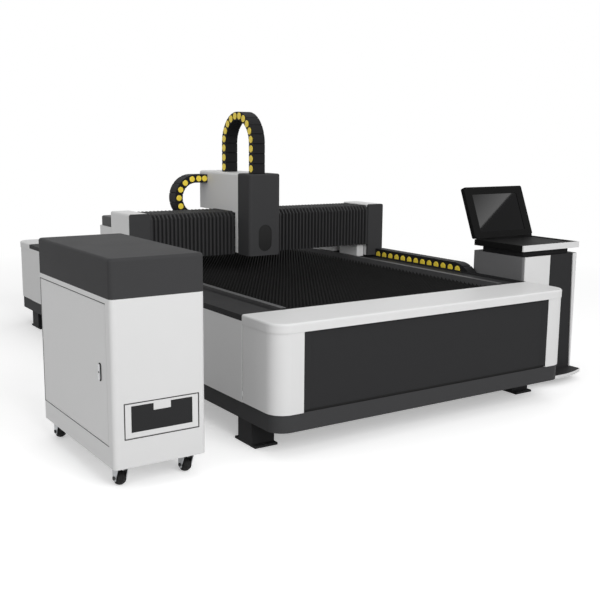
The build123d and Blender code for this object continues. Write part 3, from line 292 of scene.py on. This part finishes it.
# Fine-textured powder coats of the dark sheets: matt, so that a face keeps one tone
charcoal_paint = surface("charcoal_powder_coat", "#404041", 0.6, grain=0.15, shine=0.05)
dark_paint = surface("dark_grey_powder_coat", "#2E2E2F", 0.6, grain=0.15, shine=0.06)
# Smoother powder coats: the guards shine a little
guard_paint = surface("mid_grey_powder_coat", "#4C4C4D", 0.55, grain=0.15, shine=0.25)
# The console's side sheets stay dull; their grey is painted light, lighter than the console's dark
# body where light falls on its sides
painted_light_grey = surface("grey_powder_coat", "#6E6E6F", 0.5, mottle=0.05, grain=0.15, shine=0.15)
# Hot-rolled steel under burnt mill scale, an oxide that is hardly metallic: dull and blotchy.
# The black between the teeth is painted shade.
black_steel = surface(
    "scaled_black_steel", "#303030", 0.6, metallic=0.2, mottle=0.2, grain=0.4,
    grain_size=scale_flake, shine=0.1, painted_shade_reach=0.15)
# Ground guide steel: bright, with streaks along Y that are drawn 5 mm wide, which is far coarser
# than grinding marks, so that they show
ground_steel = surface(
    "ground_steel", "#A9ABAD", 0.28, metallic=1.0, mottle=0.05, stretch=(40.0, 1.0, 40.0))
# Moulded glass-filled nylon: nearly black and dull, with rounded edges
chain_plastic = surface(
    "chain_nylon", "#1D1D1E", 0.6, mottle=0.05, grain=0.2, edge=0.002, shine=0.12)
# Moulded plastic of the caps: a clean yellow with a satin sheen
cap_plastic = surface("yellow_cap_plastic", "#FFE046", 0.4, mottle=0.04, grain=0.05, edge=0.001)
# Woven cloth with a plastic coat: dark grey folds, made black in their depth by painted shade
bellows_cloth = surface(
    "coated_bellows_cloth", "#363637", 0.6, mottle=0.06, grain=0.35, grain_size=cloth_thread,
    edge=0.001, shine=0.2, painted_shade_reach=0.05)
# Sprayed satin enamel of motors and nuts: black with a soft sheen
motor_paint = surface("satin_black_motor_paint", "#232324", 0.5, mottle=0.04, shine=0.3)
# Cast smoked acrylic: a smooth, dark window with a weak reflection
smoked_plastic = surface("smoked_acrylic", "#1B1B1B", 0.3, mottle=0.02, grain=0.02, shine=0.25)
# Turned copper: a warm metal with a bright highlight
copper = surface("turned_copper", "#B87350", 0.3, metallic=1.0, mottle=0.05)
# Satin chrome plate: a pale metal that mirrors with a little blur
chrome = surface("satin_chrome", "#B9BABC", 0.2, metallic=1.0, mottle=0.02)
# Pressed, zinc-plated steel: a cloudy grey metal
zinc = surface("zinc_plated_steel", "#A9ABAD", 0.36, metallic=1.0, mottle=0.08, edge=0.001)
# Moulded rubber: a rough black with a weak sheen; it also colours the strips of painted shade under
# the front panel and round the door and drawer
rubber = surface("black_rubber", "#131313", 0.65, mottle=0.05, grain=0.3, shine=0.25)
# Moulded, grained plastic: black without gloss
black_plastic = surface("black_grained_plastic", "#131313", 0.6, grain=0.25, shine=0.05)
# Float glass over an unlit display: black, with a clear reflection
screen_glass = surface("screen_glass", "#050506", 0.03, mottle=0.0, grain=0.0, shine=0.1)

# Finish of every solid
finishes = {
    light_paint: [
        "front_cover", "rear_cover", "side_covers", "end_covers", "drive_covers",
        "carriage_cover", "carriage_plate", "gantry_saddles", "cabinet_body", "cabinet_door",
        "cabinet_drawer", "console_front_panels", "tray_edge"],
    charcoal_paint: ["plinth", "end_fronts", "head_cover", "cabinet_top"],
    dark_paint: [
        "base_frame", "machine_feet", "front_panel", "left_rail_cover", "right_rail_cover",
        "gantry_beam", "x_chain_tray", "drawer_inset", "laser_source", "console_body",
        "console_base"],
    guard_paint: ["inner_guards"],
    black_steel: ["slat_supports", "slats", "slag_tray"],
    ground_steel: ["y_guides", "x_guides", "z_rails", "z_slide", "laser_head", "drawer_runners"],
    chain_plastic: ["x_chain", "y_chain", "z_chain"],
    bellows_cloth: ["left_bellows", "right_bellows"],
    motor_paint: ["y_drives", "x_drive"],
    smoked_plastic: ["head_window"],
    copper: ["nozzle"],
    chrome: ["door_latch"],
    zinc: [f"caster_fork_{number}" for number in casters],
    rubber: ["console_casters"] + [f"caster_wheel_{number}" for number in casters],
    black_plastic: ["console_tray", "monitor"],
    screen_glass: ["monitor_screen"],
}
for finish, names in finishes.items():
    for name in names:
        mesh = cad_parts[name].data
        mesh.materials.clear()
        mesh.materials.append(finish)


def mesh_piece(name, points, faces, finish):
    """Object from points and faces, with its faces turned outwards."""
    mesh = bpy.data.meshes.new(name)
    mesh.from_pydata(points, [], faces)
    shape = bmesh.new()
    shape.from_mesh(mesh)
    bmesh.ops.recalc_face_normals(shape, faces=shape.faces)
    shape.to_mesh(mesh)
    shape.free()
    mesh.materials.append(finish)
    piece = bpy.data.objects.new(name, mesh)
    scene.collection.objects.link(piece)
    return piece


def mount(piece, body, node=None):
    """Lets a piece ride on a body, in the place of a solid where one is named."""
    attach(piece, body)
    if node:
        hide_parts(node)


def skin(sections, closed=False):
    """Points and faces over a row of closed sections, with end faces unless the row is closed."""
    rows, count = len(sections), len(sections[0])
    points = [point for section in sections for point in section]
    faces = []
    for row in range(rows if closed else rows - 1):
        here, there = row * count, (row + 1) % rows * count
        for index in range(count):
            following = (index + 1) % count
            faces.append((here + index, here + following, there + following, there + index))
    if not closed:
        faces.append(tuple(range(count))[::-1])
        faces.append(tuple(range((rows - 1) * count, rows * count)))
    return points, faces


def prism(outline, axis, start, end):
    """Shape of an outline drawn along an axis; its pairs are the other two axes in order."""
    sections = []
    for depth in (start, end):
        section = [list(pair) for pair in outline]
        for point in section:
            point.insert(axis, depth)
        sections.append([tuple(point) for point in section])
    return skin(sections)


def joined(parts):
    """Points and faces of several shapes as one."""
    points, faces = [], []
    for some_points, some_faces in parts:
        shift = len(points)
        points += some_points
        faces += [tuple(index + shift for index in face) for face in some_faces]
    return points, faces


def box_shape(low, high):
    """Points and faces of an upright box."""
    corners = [(low[0], low[1]), (high[0], low[1]), (high[0], high[1]), (low[0], high[1])]
    return prism(corners, 2, low[2], high[2])


def circle(radius, sides):
    """Pairs of values round a circle."""
    angles = [2 * math.pi * side / sides for side in range(sides)]
    return [(radius * math.cos(angle), radius * math.sin(angle)) for angle in angles]


def repeat_tree():
    """Geometry nodes that set a piece on each point, turned by the point's own angles."""
    tree = bpy.data.node_groups.new("repeat_on_points", "GeometryNodeTree")
    for name, kind in (("Points", "Geometry"), ("Piece", "Object"), ("Finish", "Material")):
        tree.interface.new_socket(name, in_out="INPUT", socket_type="NodeSocket" + kind)
    tree.interface.new_socket("Result", in_out="OUTPUT", socket_type="NodeSocketGeometry")
    given = add_node(tree, "NodeGroupInput")
    shape = add_node(tree, "GeometryNodeObjectInfo", {"Object": given.outputs["Piece"]})
    turn = add_node(
        tree, "GeometryNodeInputNamedAttribute", {"Name": "turn"}, data_type="FLOAT_VECTOR")
    rotation = add_node(tree, "FunctionNodeEulerToRotation", {"Euler": turn.outputs["Attribute"]})
    copies = add_node(tree, "GeometryNodeInstanceOnPoints", {
        "Points": given.outputs["Points"],
        "Instance": shape.outputs["Geometry"],
        "Rotation": rotation.outputs["Rotation"],
    })
    real = add_node(tree, "GeometryNodeRealizeInstances", {
        "Geometry": copies.outputs["Instances"]})
    painted = add_node(tree, "GeometryNodeSetMaterial", {
        "Geometry": real.outputs["Geometry"],
        "Material": given.outputs["Finish"],
    })
    add_node(tree, "NodeGroupOutput", {"Result": painted.outputs["Geometry"]})
    return tree


repeating = repeat_tree()


def repeated(name, shape, places, finish):
    """One plain mesh of a shape copied to places, each a point with its turn about X, Y and Z."""
    piece = mesh_piece(name + "_one", *shape, finish)
    points = bpy.data.meshes.new(name)
    points.from_pydata([place for place, turn in places], [], [])
    turns = points.attributes.new("turn", "FLOAT_VECTOR", "POINT")
    turns.data.foreach_set("vector", [angle for place, turn in places for angle in turn])
    holder = bpy.data.objects.new(name, points)
    scene.collection.objects.link(holder)
    modifier = holder.modifiers.new("repeat", "NODES")
    modifier.node_group = repeating
    sockets = {item.name: item.identifier for item in repeating.interface.items_tree}
    modifier[sockets["Piece"]] = piece
    modifier[sockets["Finish"]] = finish
    bpy.context.view_layer.update()
    depsgraph = bpy.context.evaluated_depsgraph_get()
    plain = bpy.data.meshes.new_from_object(holder.evaluated_get(depsgraph))
    holder.modifiers.clear()
    holder.data = plain
    plain.name = name
    bpy.data.objects.remove(piece)
    return holder


def slat_places():
    """Y of every slat: those of the solids and the ones between them."""
    low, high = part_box("slats")
    first = low.y + slat_thickness / 2
    span = high.y - low.y - slat_thickness
    steps = (solid_slats - 1) * slat_ratio
    return [first + span * index / steps for index in range(steps + 1)]


def slat_table():
    """Full set of toothed slats, and the comb bars with a slot for each."""
    low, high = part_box("slats")
    teeth = solid_teeth * tooth_ratio
    pitch = (high.x - low.x) / teeth
    outline = [(high.x, low.z), (low.x, low.z)]
    for tooth in range(teeth):
        root = low.x + tooth * pitch
        outline += [(root, high.z - tooth_depth), (root + pitch / 2, high.z)]
    outline.append((high.x, high.z - tooth_depth))
    blade = prism(outline, 1, -slat_thickness / 2, slat_thickness / 2)
    places = [((0, y, 0), (0, 0, 0)) for y in slat_places()]
    slats = repeated("toothed_slats", blade, places, black_steel)
    mount(slats, "machine_bed", "slats")
    low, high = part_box("slat_supports")
    end = high.y - comb_width
    half = slat_thickness / 2 + fit_gap
    outline = [(end, high.z), (end, low.z), (-end, low.z), (-end, high.z)]
    for y in slat_places():
        outline += [
            (y - half, high.z), (y - half, slat_seat), (y + half, slat_seat), (y + half, high.z)]
    parts = [
        prism(outline, 0, low.x, low.x + comb_width),
        prism(outline, 0, -centre_comb_width / 2, centre_comb_width / 2),
        prism(outline, 0, high.x - comb_width, high.x),
        box_shape((low.x, low.y, low.z), (high.x, -end, high.z)),
        box_shape((low.x, end, low.z), high),
    ]
    combs = mesh_piece("slat_combs", *joined(parts), black_steel)
    mount(combs, "machine_bed", "slat_supports")


def bellows_section(x, inset):
    """Points round the bellows' wall at one x, its outside moved in by an inset."""
    bevel = bellows_bevel + inset * (math.sqrt(2) - 1)
    inner_bevel = bellows_bevel + bellows_wall * (math.sqrt(2) - 1)
    outline = [
        (bellows_back, bellows_top - inset),
        (bellows_front + bevel, bellows_top - inset),
        (bellows_front + inset, bellows_top - bevel),
        (bellows_front + inset, bellows_bottom),
        (bellows_front + bellows_wall, bellows_bottom),
        (bellows_front + bellows_wall, bellows_top - inner_bevel),
        (bellows_front + inner_bevel, bellows_top - bellows_wall),
        (bellows_back, bellows_top - bellows_wall),
    ]
    return [(x, y, z) for y, z in outline]


def bellows(node, fixed, moving):
    """Pleated cover that folds up between an end cover and the carriage.

    It is cut into runs, so that along each a smooth step between the bodies would be nearly
    straight; here the runs are only baked in place.
    """
    reach = moving - fixed
    pleats = round(abs(reach) / pleat_pitch)
    cuts = {0, 1, pleats - 1, pleats} | {round(pleats * share) for share in bellows_cuts}
    cuts = sorted(cuts)
    for number, (first, last) in enumerate(zip(cuts, cuts[1:]), start=1):
        sections = []
        for pleat in range(first, last + 1):
            for share, inset in pleat_profile:
                station = pleat + share
                if min(station, pleats - station) < end_frame_share:
                    inset = 0.0
                if station <= last:
                    sections.append(bellows_section(fixed + reach * station / pleats, inset))
        run = mesh_piece(f"{node}_run_{number}", *skin(sections), bellows_cloth)
        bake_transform(run)
        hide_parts(node)


def chain_links(first_run, radius, last_run, pitch):
    """Links of a chain that runs to (0, 0), makes a half turn and runs back.

    Each run has the middles of its links as (u, v, heading), and its own pitch.
    """
    runs = {}
    lengths = {"fixed_run": first_run, "bend": math.pi * radius, "moving_run": last_run}
    for run, length in lengths.items():
        count = max(round(length / pitch), 1)
        links = []
        for index in range(count):
            station = length * (index + 0.5) / count
            angle = station / radius
            if run == "fixed_run":
                links.append((station - length, 0.0, 0.0))
            elif run == "moving_run":
                links.append((-station, 2 * radius, math.pi))
            else:
                links.append((radius * math.sin(angle), radius - radius * math.cos(angle), angle))
        runs[run] = (links, length / count)
    return runs


def link_shape(pitch, thickness, width, radius=None):
    """One chain link as (along, out, across): a bevelled body and its tongue.

    Both are bent where there is a radius.
    """
    half_length, half_height = pitch * body_reach, thickness / 2
    reach = half_length - pitch * link_bevel_length
    rise = half_height - thickness * link_bevel_height
    edge = [reach * step / link_steps for step in range(-link_steps, link_steps + 1)]
    body = [(s, -half_height) for s in edge]
    body += [(half_length, -rise), (half_length, rise)]
    body += [(s, half_height) for s in reversed(edge)]
    body += [(-half_length, rise), (-half_length, -rise)]
    tongue = [(s * tongue_reach / body_reach, v * tongue_thickness) for s, v in body]
    parts = []
    for outline, share in ((body, body_half_width), (tongue, tongue_half_width)):
        if radius:
            outline = [
                ((radius - v) * math.sin(s / radius), radius - (radius - v) * math.cos(s / radius))
                for s, v in outline]
        parts.append(prism(outline, 2, -width * share, width * share))
    return joined(parts)


def cap_shape(radius, face):
    """Round cap on a link's side, with a bevelled rim."""
    return skin([
        [(u, v, face - cap_height * rise) for u, v in circle(radius * share, cap_sides)]
        for share, rise in cap_profile])


def chain(node, runs, thickness, width, radius, cap_share, place, turned, follow):
    """Links of one drag chain and their yellow caps, in pieces for every run that moves alike.

    Along a short run, which stretches most, each cap is a piece of its own and keeps its form.
    """
    cap_points, cap_faces = cap_shape(cap_share * thickness, -width / 2)
    cap = ([place(u, v, w, True) for u, v, w in cap_points], cap_faces)
    for run, (links, pitch) in runs.items():
        places = [(place(u, v, 0, False), turned(heading)) for u, v, heading in links]
        points, faces = link_shape(pitch, thickness, width, radius if run == "bend" else None)
        link = ([place(u, v, w, True) for u, v, w in points], faces)
        pieces = [(f"{node}_{run}_links", link, places, chain_plastic, None)]
        if len(places) > short_run:
            pieces.append((f"{node}_{run}_caps", cap, places, cap_plastic, None))
        else:
            for number, spot in enumerate(places, start=1):
                pieces.append((f"{node}_{run}_cap_{number}", cap, [spot], cap_plastic, spot[0]))
        for name, shape, spots, finish, at in pieces:
            piece = repeated(name, shape, spots, finish)
            follow(piece, run, at)
            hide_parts(node)


def half_speed(piece, run, axis, fixed, bend, moving, at):
    """Bakes a piece of a rolling chain in place.

    In the real chain the bend follows the moving body at half speed and the runs take up the rest;
    the span or share worked out here for that is not used.
    """
    across = 1 - axis
    first, last = 2 * bend - moving, moving
    if run == "fixed_run":
        first, last = fixed, 2 * bend - fixed
    low, high = Vector((0, 0, 0)), Vector((0, 0, 0))
    if run == "bend" or at:
        share = 0.5 if run == "bend" else (at[axis] - first) / (last - first)
        low[across], high[across] = -share * steady_span, (1 - share) * steady_span
    else:
        low[axis], high[axis] = first, last
    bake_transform(piece)


def rolling_chain(node, axis, moving, thickness, pitch, cap_share):
    """Chain along an axis, fixed at its far end, whose upper run a body pulls along."""
    low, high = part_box(node)
    across = 1 - axis
    half = thickness / 2
    radius = (high.z - low.z) / 2 - half
    bend = low[axis] + radius + half
    middle = (low[across] + high[across]) / 2
    runs = chain_links(high[axis] - bend, radius, moving - bend, pitch)

    def place(u, v, w, shape):
        """A point of a link's own shape, or else of the chain in its place."""
        along, side, rise = (-u, w, v) if shape else (bend - u, middle + w, low.z + half + v)
        return (along, side, rise) if axis == 0 else (side, along, rise)

    def turned(heading):
        return (0, heading, 0) if axis == 0 else (-heading, 0, 0)

    def follow(piece, run, at):
        half_speed(piece, run, axis, high[axis], bend, moving, at)

    width = high[across] - low[across]
    chain(node, runs, thickness, width, radius, cap_share, place, turned, follow)


def z_chain():
    """Chain that arches from the cutting head back to the carriage."""
    low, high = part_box("z_chain")
    half = z_chain_thickness / 2
    radius = (high.y - low.y) / 2 - half
    crown = high.z - half - radius
    middle = (low.x + high.x) / 2
    runs = chain_links(crown - low.z, radius, crown - low.z, z_chain_pitch)

    def place(u, v, w, shape):
        """A point of a link's own shape, or else of the chain in its place."""
        return (w, v, u) if shape else (middle + w, low.y + half + v, crown + u)

    def turned(heading):
        return (-heading, 0, 0)

    def follow(piece, run, at):
        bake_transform(piece)

    width = high.x - low.x
    chain("z_chain", runs, z_chain_thickness, width, radius, z_cap_share, place, turned, follow)


def console_rim():
    """Light edging round the bowed front of the console's base plate."""
    low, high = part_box("console_base")
    half = (high.x - low.x) / 2
    radius = (half ** 2 + base_bow ** 2) / (2 * base_bow)
    centre = ((low.x + high.x) / 2, low.y + radius)
    reach = math.asin(half / radius)
    outline = []
    for offset, way in ((0.0, 1), (rim_thickness, -1)):
        size = radius + offset
        for step in range(-rim_steps, rim_steps + 1):
            angle = way * reach * step / rim_steps
            outline.append(
                (centre[0] + size * math.sin(angle), centre[1] - size * math.cos(angle)))
    rim = mesh_piece("console_base_rim", *prism(outline, 2, low.z, high.z), light_paint)
    mount(rim, "machine_bed")


def panel_gap_shade():
    """Dark strip behind the gap under the front panel: painted shade in that gap."""
    low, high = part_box("front_panel")
    shape = box_shape(
        (low.x + fit_gap, high.y + fit_gap, low.z - gap_shade_drop),
        (high.x - fit_gap, high.y + gap_shade_thickness, low.z + gap_shade_lap))
    gap_shade = mesh_piece("panel_bottom_seal", *shape, rubber)
    mount(gap_shade, "machine_bed")


def console_painted_light_sides():
    """Thin grey side sheets, folded round the console's front corners to the light panels: painted
    light, lighter than the dark body where light falls on it.
    """
    low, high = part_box("console_body")
    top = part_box("console_front_panels")[1].z
    back = high.y - console_radius
    turns = [math.pi / 2 * step / corner_steps for step in range(corner_steps + 1)]
    parts = []
    for edge, inward in ((low.x, 1), (high.x, -1)):
        outline = [(edge, back)]
        for reach, angles in (
                (console_radius, turns), (console_radius + trim_height, reversed(turns))):
            for angle in angles:
                outline.append((
                    edge + inward * (console_radius - reach * math.cos(angle)),
                    low.y + console_radius - reach * math.sin(angle)))
        outline.append((edge - inward * trim_height, back))
        parts.append(prism(outline, 2, low.z, top))
    lit_sheets = mesh_piece("console_side_sheets", *joined(parts), painted_light_grey)
    mount(lit_sheets, "machine_bed")


def caster_wheels():
    """Cabinet wheels with a crowned, grooved tread and dished sides."""
    profile = [(-across, out) for across, out in wheel_side]
    for step in range(-tread_steps, tread_steps + 1):
        share = step / tread_steps
        groove = groove_depth if step in groove_steps else 0.0
        profile.append((share, 1.0 - tread_crown * share ** 2 - groove))
    profile += reversed(wheel_side)
    for number in casters:
        low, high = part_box(f"caster_wheel_{number}")
        middle = (low + high) / 2
        half = (high.x - low.x) / 2
        radius = (high.z - low.z) / 2
        sections = [
            [(middle.x + half * across, middle.y + out * y, middle.z + out * z)
             for across, out in profile]
            for y, z in circle(radius, wheel_steps)]
        wheel = mesh_piece(f"caster_{number}_tyre", *skin(sections, closed=True), rubber)
        mount(wheel, f"wheel_{number}", f"caster_wheel_{number}")


def caster_nuts():
    """Dark hexagon nuts on the axles of the cabinet's casters."""
    for number in casters:
        low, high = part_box(f"caster_fork_{number}")
        wheel_low, wheel_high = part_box(f"caster_wheel_{number}")
        middle = (wheel_low + wheel_high) / 2
        outline = [(middle.y + y, middle.z + z) for y, z in circle(nut_radius, nut_sides)]
        parts = [
            prism(outline, 0, low.x - nut_height, low.x),
            prism(outline, 0, high.x, high.x + nut_height),
        ]
        nuts = mesh_piece(f"caster_{number}_axle_nuts", *joined(parts), motor_paint)
        mount(nuts, f"caster_{number}")


def shade_edging(name, axis, face, low, high, width, sides):
    """Dark strips on a face, along the named sides of the opening between two corners: painted
    shade of the gap round it.
    """
    (left, bottom), (right, top) = low, high
    corners = {
        "bottom": ((left - width, bottom - width), (right + width, bottom)),
        "top": ((left - width, top), (right + width, top + width)),
        "low": ((left - width, bottom), (left, top)),
        "high": ((right, bottom), (right + width, top)),
    }
    parts = []
    for side in sides:
        (a0, b0), (a1, b1) = corners[side]
        strip = [(a0, b0), (a1, b0), (a1, b1), (a0, b1)]
        parts.append(prism(strip, axis, face - trim_height, face))
    shade_strips = mesh_piece(name, *joined(parts), rubber)
    mount(shade_strips, "machine_bed")


def cabinet_gap_shade():
    """Dark strips round the cabinet's door and drawer: painted shade of their gaps."""
    low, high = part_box("cabinet_door")
    corners = (
        (low.y - opening_gap, low.z + hinge_pin_length - opening_gap),
        (high.y + opening_gap, high.z - hinge_pin_length + opening_gap),
    )
    shade_edging("door_edging", 0, low.x, *corners, door_shade_width, ("bottom", "top", "high"))
    low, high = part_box("cabinet_drawer")
    corners = (
        (low.x - opening_gap, low.z - opening_gap),
        (high.x + opening_gap, high.z + opening_gap),
    )
    shade_edging("drawer_edging", 1, low.y, *corners, drawer_shade_width, ("bottom", "top", "low", "high"))


def oval_outline(centre, width, height):
    """Upright oval as pairs of values."""
    radius = width / 2
    points = []
    for end, begin in ((1, 0.0), (-1, math.pi)):
        for step in range(oval_steps + 1):
            angle = begin + math.pi * step / oval_steps
            rise = end * (height / 2 - radius) + radius * math.sin(angle)
            points.append((centre[0] + radius * math.cos(angle), centre[1] + rise))
    return points


def latch_trim():
    """Dark oval rim that turns with the door's latch, and its keyhole."""
    low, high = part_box("door_latch")
    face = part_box("cabinet_door")[0].x
    width, height = high.y - low.y, high.z - low.z
    centre = ((low.y + high.y) / 2, (low.z + high.z) / 2)
    grow = 2 * latch_bezel_width
    inner = oval_outline(centre, width + latch_gap, height + latch_gap)
    outer = oval_outline(centre, width + grow, height + grow)
    front, back = face - latch_bezel_height, face - fit_gap
    sections = [
        [(front, *near), (front, *far), (back, *far), (back, *near)]
        for near, far in zip(inner, outer)]
    bezel = mesh_piece("latch_bezel", *skin(sections, closed=True), black_plastic)
    mount(bezel, "latch")
    disc = [(centre[0] + y, centre[1] + z) for y, z in circle(keyhole_radius, keyhole_sides)]
    hole = prism(disc, 0, low.x - trim_height, low.x)
    keyhole = mesh_piece("latch_keyhole", *hole, motor_paint)
    mount(keyhole, "latch")


def direct_rays(tree):
    """1 for rays that the camera, a reflection or clear glass sends, and 0 for the rest."""
    rays = add_node(tree, "ShaderNodeLightPath").outputs
    mirrored = add_node(tree, "ShaderNodeMath", {
        0: rays["Is Camera Ray"], 1: rays["Is Glossy Ray"]}, operation="MAXIMUM")
    through = add_node(tree, "ShaderNodeMath", {
        0: mirrored.outputs["Value"], 1: rays["Is Transmission Ray"]}, operation="MAXIMUM")
    return through.outputs["Value"]


def photo_camera():
    """Camera at the photo's place."""
    lens = bpy.data.cameras.new("photo_camera")
    lens.lens = camera_lens
    lens.sensor_width = camera_sensor
    lens.clip_end = camera_reach
    camera = bpy.data.objects.new("photo_camera", lens)
    pose = Matrix.Translation(camera_place)
    for angle, axis in ((camera_yaw, "Z"), (camera_pitch, "X"), (camera_roll, "Z")):
        pose = pose @ Matrix.Rotation(math.radians(angle), 4, axis)
    camera.matrix_world = pose
    scene.collection.objects.link(camera)
    scene.camera = camera


def soft_lights():
    """Square soft lights round the machine."""
    for name, (place, aim, side, power) in softboxes.items():
        light = bpy.data.lights.new(name, "AREA")
        light.size = side
        light.energy = power
        holder = bpy.data.objects.new(name, light)
        holder.location = place
        sight = Vector(aim) - Vector(place)
        holder.rotation_euler = sight.to_track_quat("-Z", "Y").to_euler()
        scene.collection.objects.link(holder)


def screen_light():
    """Softbox parallel to the screen; the camera sees its edge along the screen's diagonal."""
    low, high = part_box("monitor_screen")
    middle = (low + high) / 2
    upward = Vector((0, high.y - low.y, high.z - low.z)).normalized()
    normal = Vector((1, 0, 0)).cross(upward)
    sight = (middle - Vector(camera_place)).normalized()
    mirrored = sight - 2 * sight.dot(normal) * normal
    diagonal = (high - low).normalized()
    inward = normal.cross(diagonal)
    light = bpy.data.lights.new("screen_softbox", "AREA")
    light.shape = "RECTANGLE"
    light.size = screen_light_length
    light.size_y = screen_light_width
    light.energy = screen_light_power
    light.use_nodes = True
    tree = light.node_tree
    tree.nodes.clear()
    place = add_node(tree, "ShaderNodeNewGeometry").outputs["Parametric"]
    across = add_node(tree, "ShaderNodeSeparateXYZ", {"Vector": place}).outputs["Y"]
    fade = add_node(tree, "ShaderNodeMapRange", {
        "Value": across,
        "From Max": screen_light_fade,
        "To Min": 1.0,
        "To Max": screen_light_end,
    })
    glow = add_node(tree, "ShaderNodeEmission", {"Strength": fade.outputs["Result"]})
    add_node(tree, "ShaderNodeOutputLight", {"Surface": glow.outputs["Emission"]})
    holder = bpy.data.objects.new("screen_softbox", light)
    turn = Matrix((diagonal, inward, normal)).transposed().to_4x4()
    centre = middle + screen_light_distance * mirrored + inward * screen_light_width / 2
    holder.matrix_world = Matrix.Translation(centre) @ turn
    scene.collection.objects.link(holder)


def pale_floor():
    """Floor that takes the machine's shadow and turns white away from it."""
    floor_paint = bpy.data.materials.new("pale_floor")
    floor_paint.use_nodes = True
    tree = floor_paint.node_tree
    tree.nodes.clear()
    place = add_node(tree, "ShaderNodeTexCoord").outputs["Object"]
    distance = add_node(tree, "ShaderNodeVectorMath", {0: place}, operation="LENGTH")
    fade = add_node(tree, "ShaderNodeMapRange", {
        "Value": distance.outputs["Value"],
        "From Min": floor_fade_start,
        "From Max": floor_fade_end,
    })
    diffuse = add_node(tree, "ShaderNodeBsdfDiffuse", {"Color": linear(floor_colour)})
    glow = add_node(tree, "ShaderNodeEmission", {
        "Color": linear(white), "Strength": floor_glow})
    near = add_node(tree, "ShaderNodeAddShader", {
        0: diffuse.outputs["BSDF"], 1: glow.outputs["Emission"]})
    far = add_node(tree, "ShaderNodeEmission", {"Color": linear(white), "Strength": 1.0})
    seen = add_node(tree, "ShaderNodeMixShader", {
        "Fac": fade.outputs["Result"], 1: near.outputs["Shader"], 2: far.outputs["Emission"]})
    bounce = add_node(tree, "ShaderNodeBsdfDiffuse", {"Color": linear(floor_bounce_colour)})
    whole = add_node(tree, "ShaderNodeMixShader", {
        "Fac": direct_rays(tree), 1: bounce.outputs["BSDF"], 2: seen.outputs["Shader"]})
    add_node(tree, "ShaderNodeOutputMaterial", {"Surface": whole.outputs["Shader"]})
    corners = [
        (x * floor_reach, y * floor_reach, 0) for x, y in ((-1, -1), (1, -1), (1, 1), (-1, 1))]
    mesh_piece("floor", corners, [(0, 1, 2, 3)], floor_paint)


def white_studio():
    """Surroundings that look white and light the machine softly."""
    world = bpy.data.worlds.new("white_studio")
    world.use_nodes = True
    tree = world.node_tree
    tree.nodes.clear()
    strength = add_node(tree, "ShaderNodeMapRange", {
        "Value": direct_rays(tree), "To Min": studio_strength, "To Max": 1.0})
    sky = add_node(tree, "ShaderNodeBackground", {
        "Color": linear(white), "Strength": strength.outputs["Result"]})
    add_node(tree, "ShaderNodeOutputWorld", {"Surface": sky.outputs["Background"]})
    scene.world = world
    scene.view_settings.view_transform = "Standard"


photo_camera()
soft_lights()
screen_light()
pale_floor()
white_studio()
slat_table()
bellows("left_bellows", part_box("left_bellows")[0].x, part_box("left_bellows")[1].x)
bellows("right_bellows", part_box("right_bellows")[1].x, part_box("right_bellows")[0].x)
rolling_chain(
    "y_chain", 1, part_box("end_fronts")[0].y - fit_gap,
    y_chain_thickness, y_chain_pitch, y_cap_share)
rolling_chain(
    "x_chain", 0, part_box("carriage_cover")[0].x - fit_gap,
    x_chain_thickness, x_chain_pitch, x_cap_share)
z_chain()
console_rim()
panel_gap_shade()
console_painted_light_sides()
caster_wheels()
caster_nuts()
cabinet_gap_shade()
latch_trim()
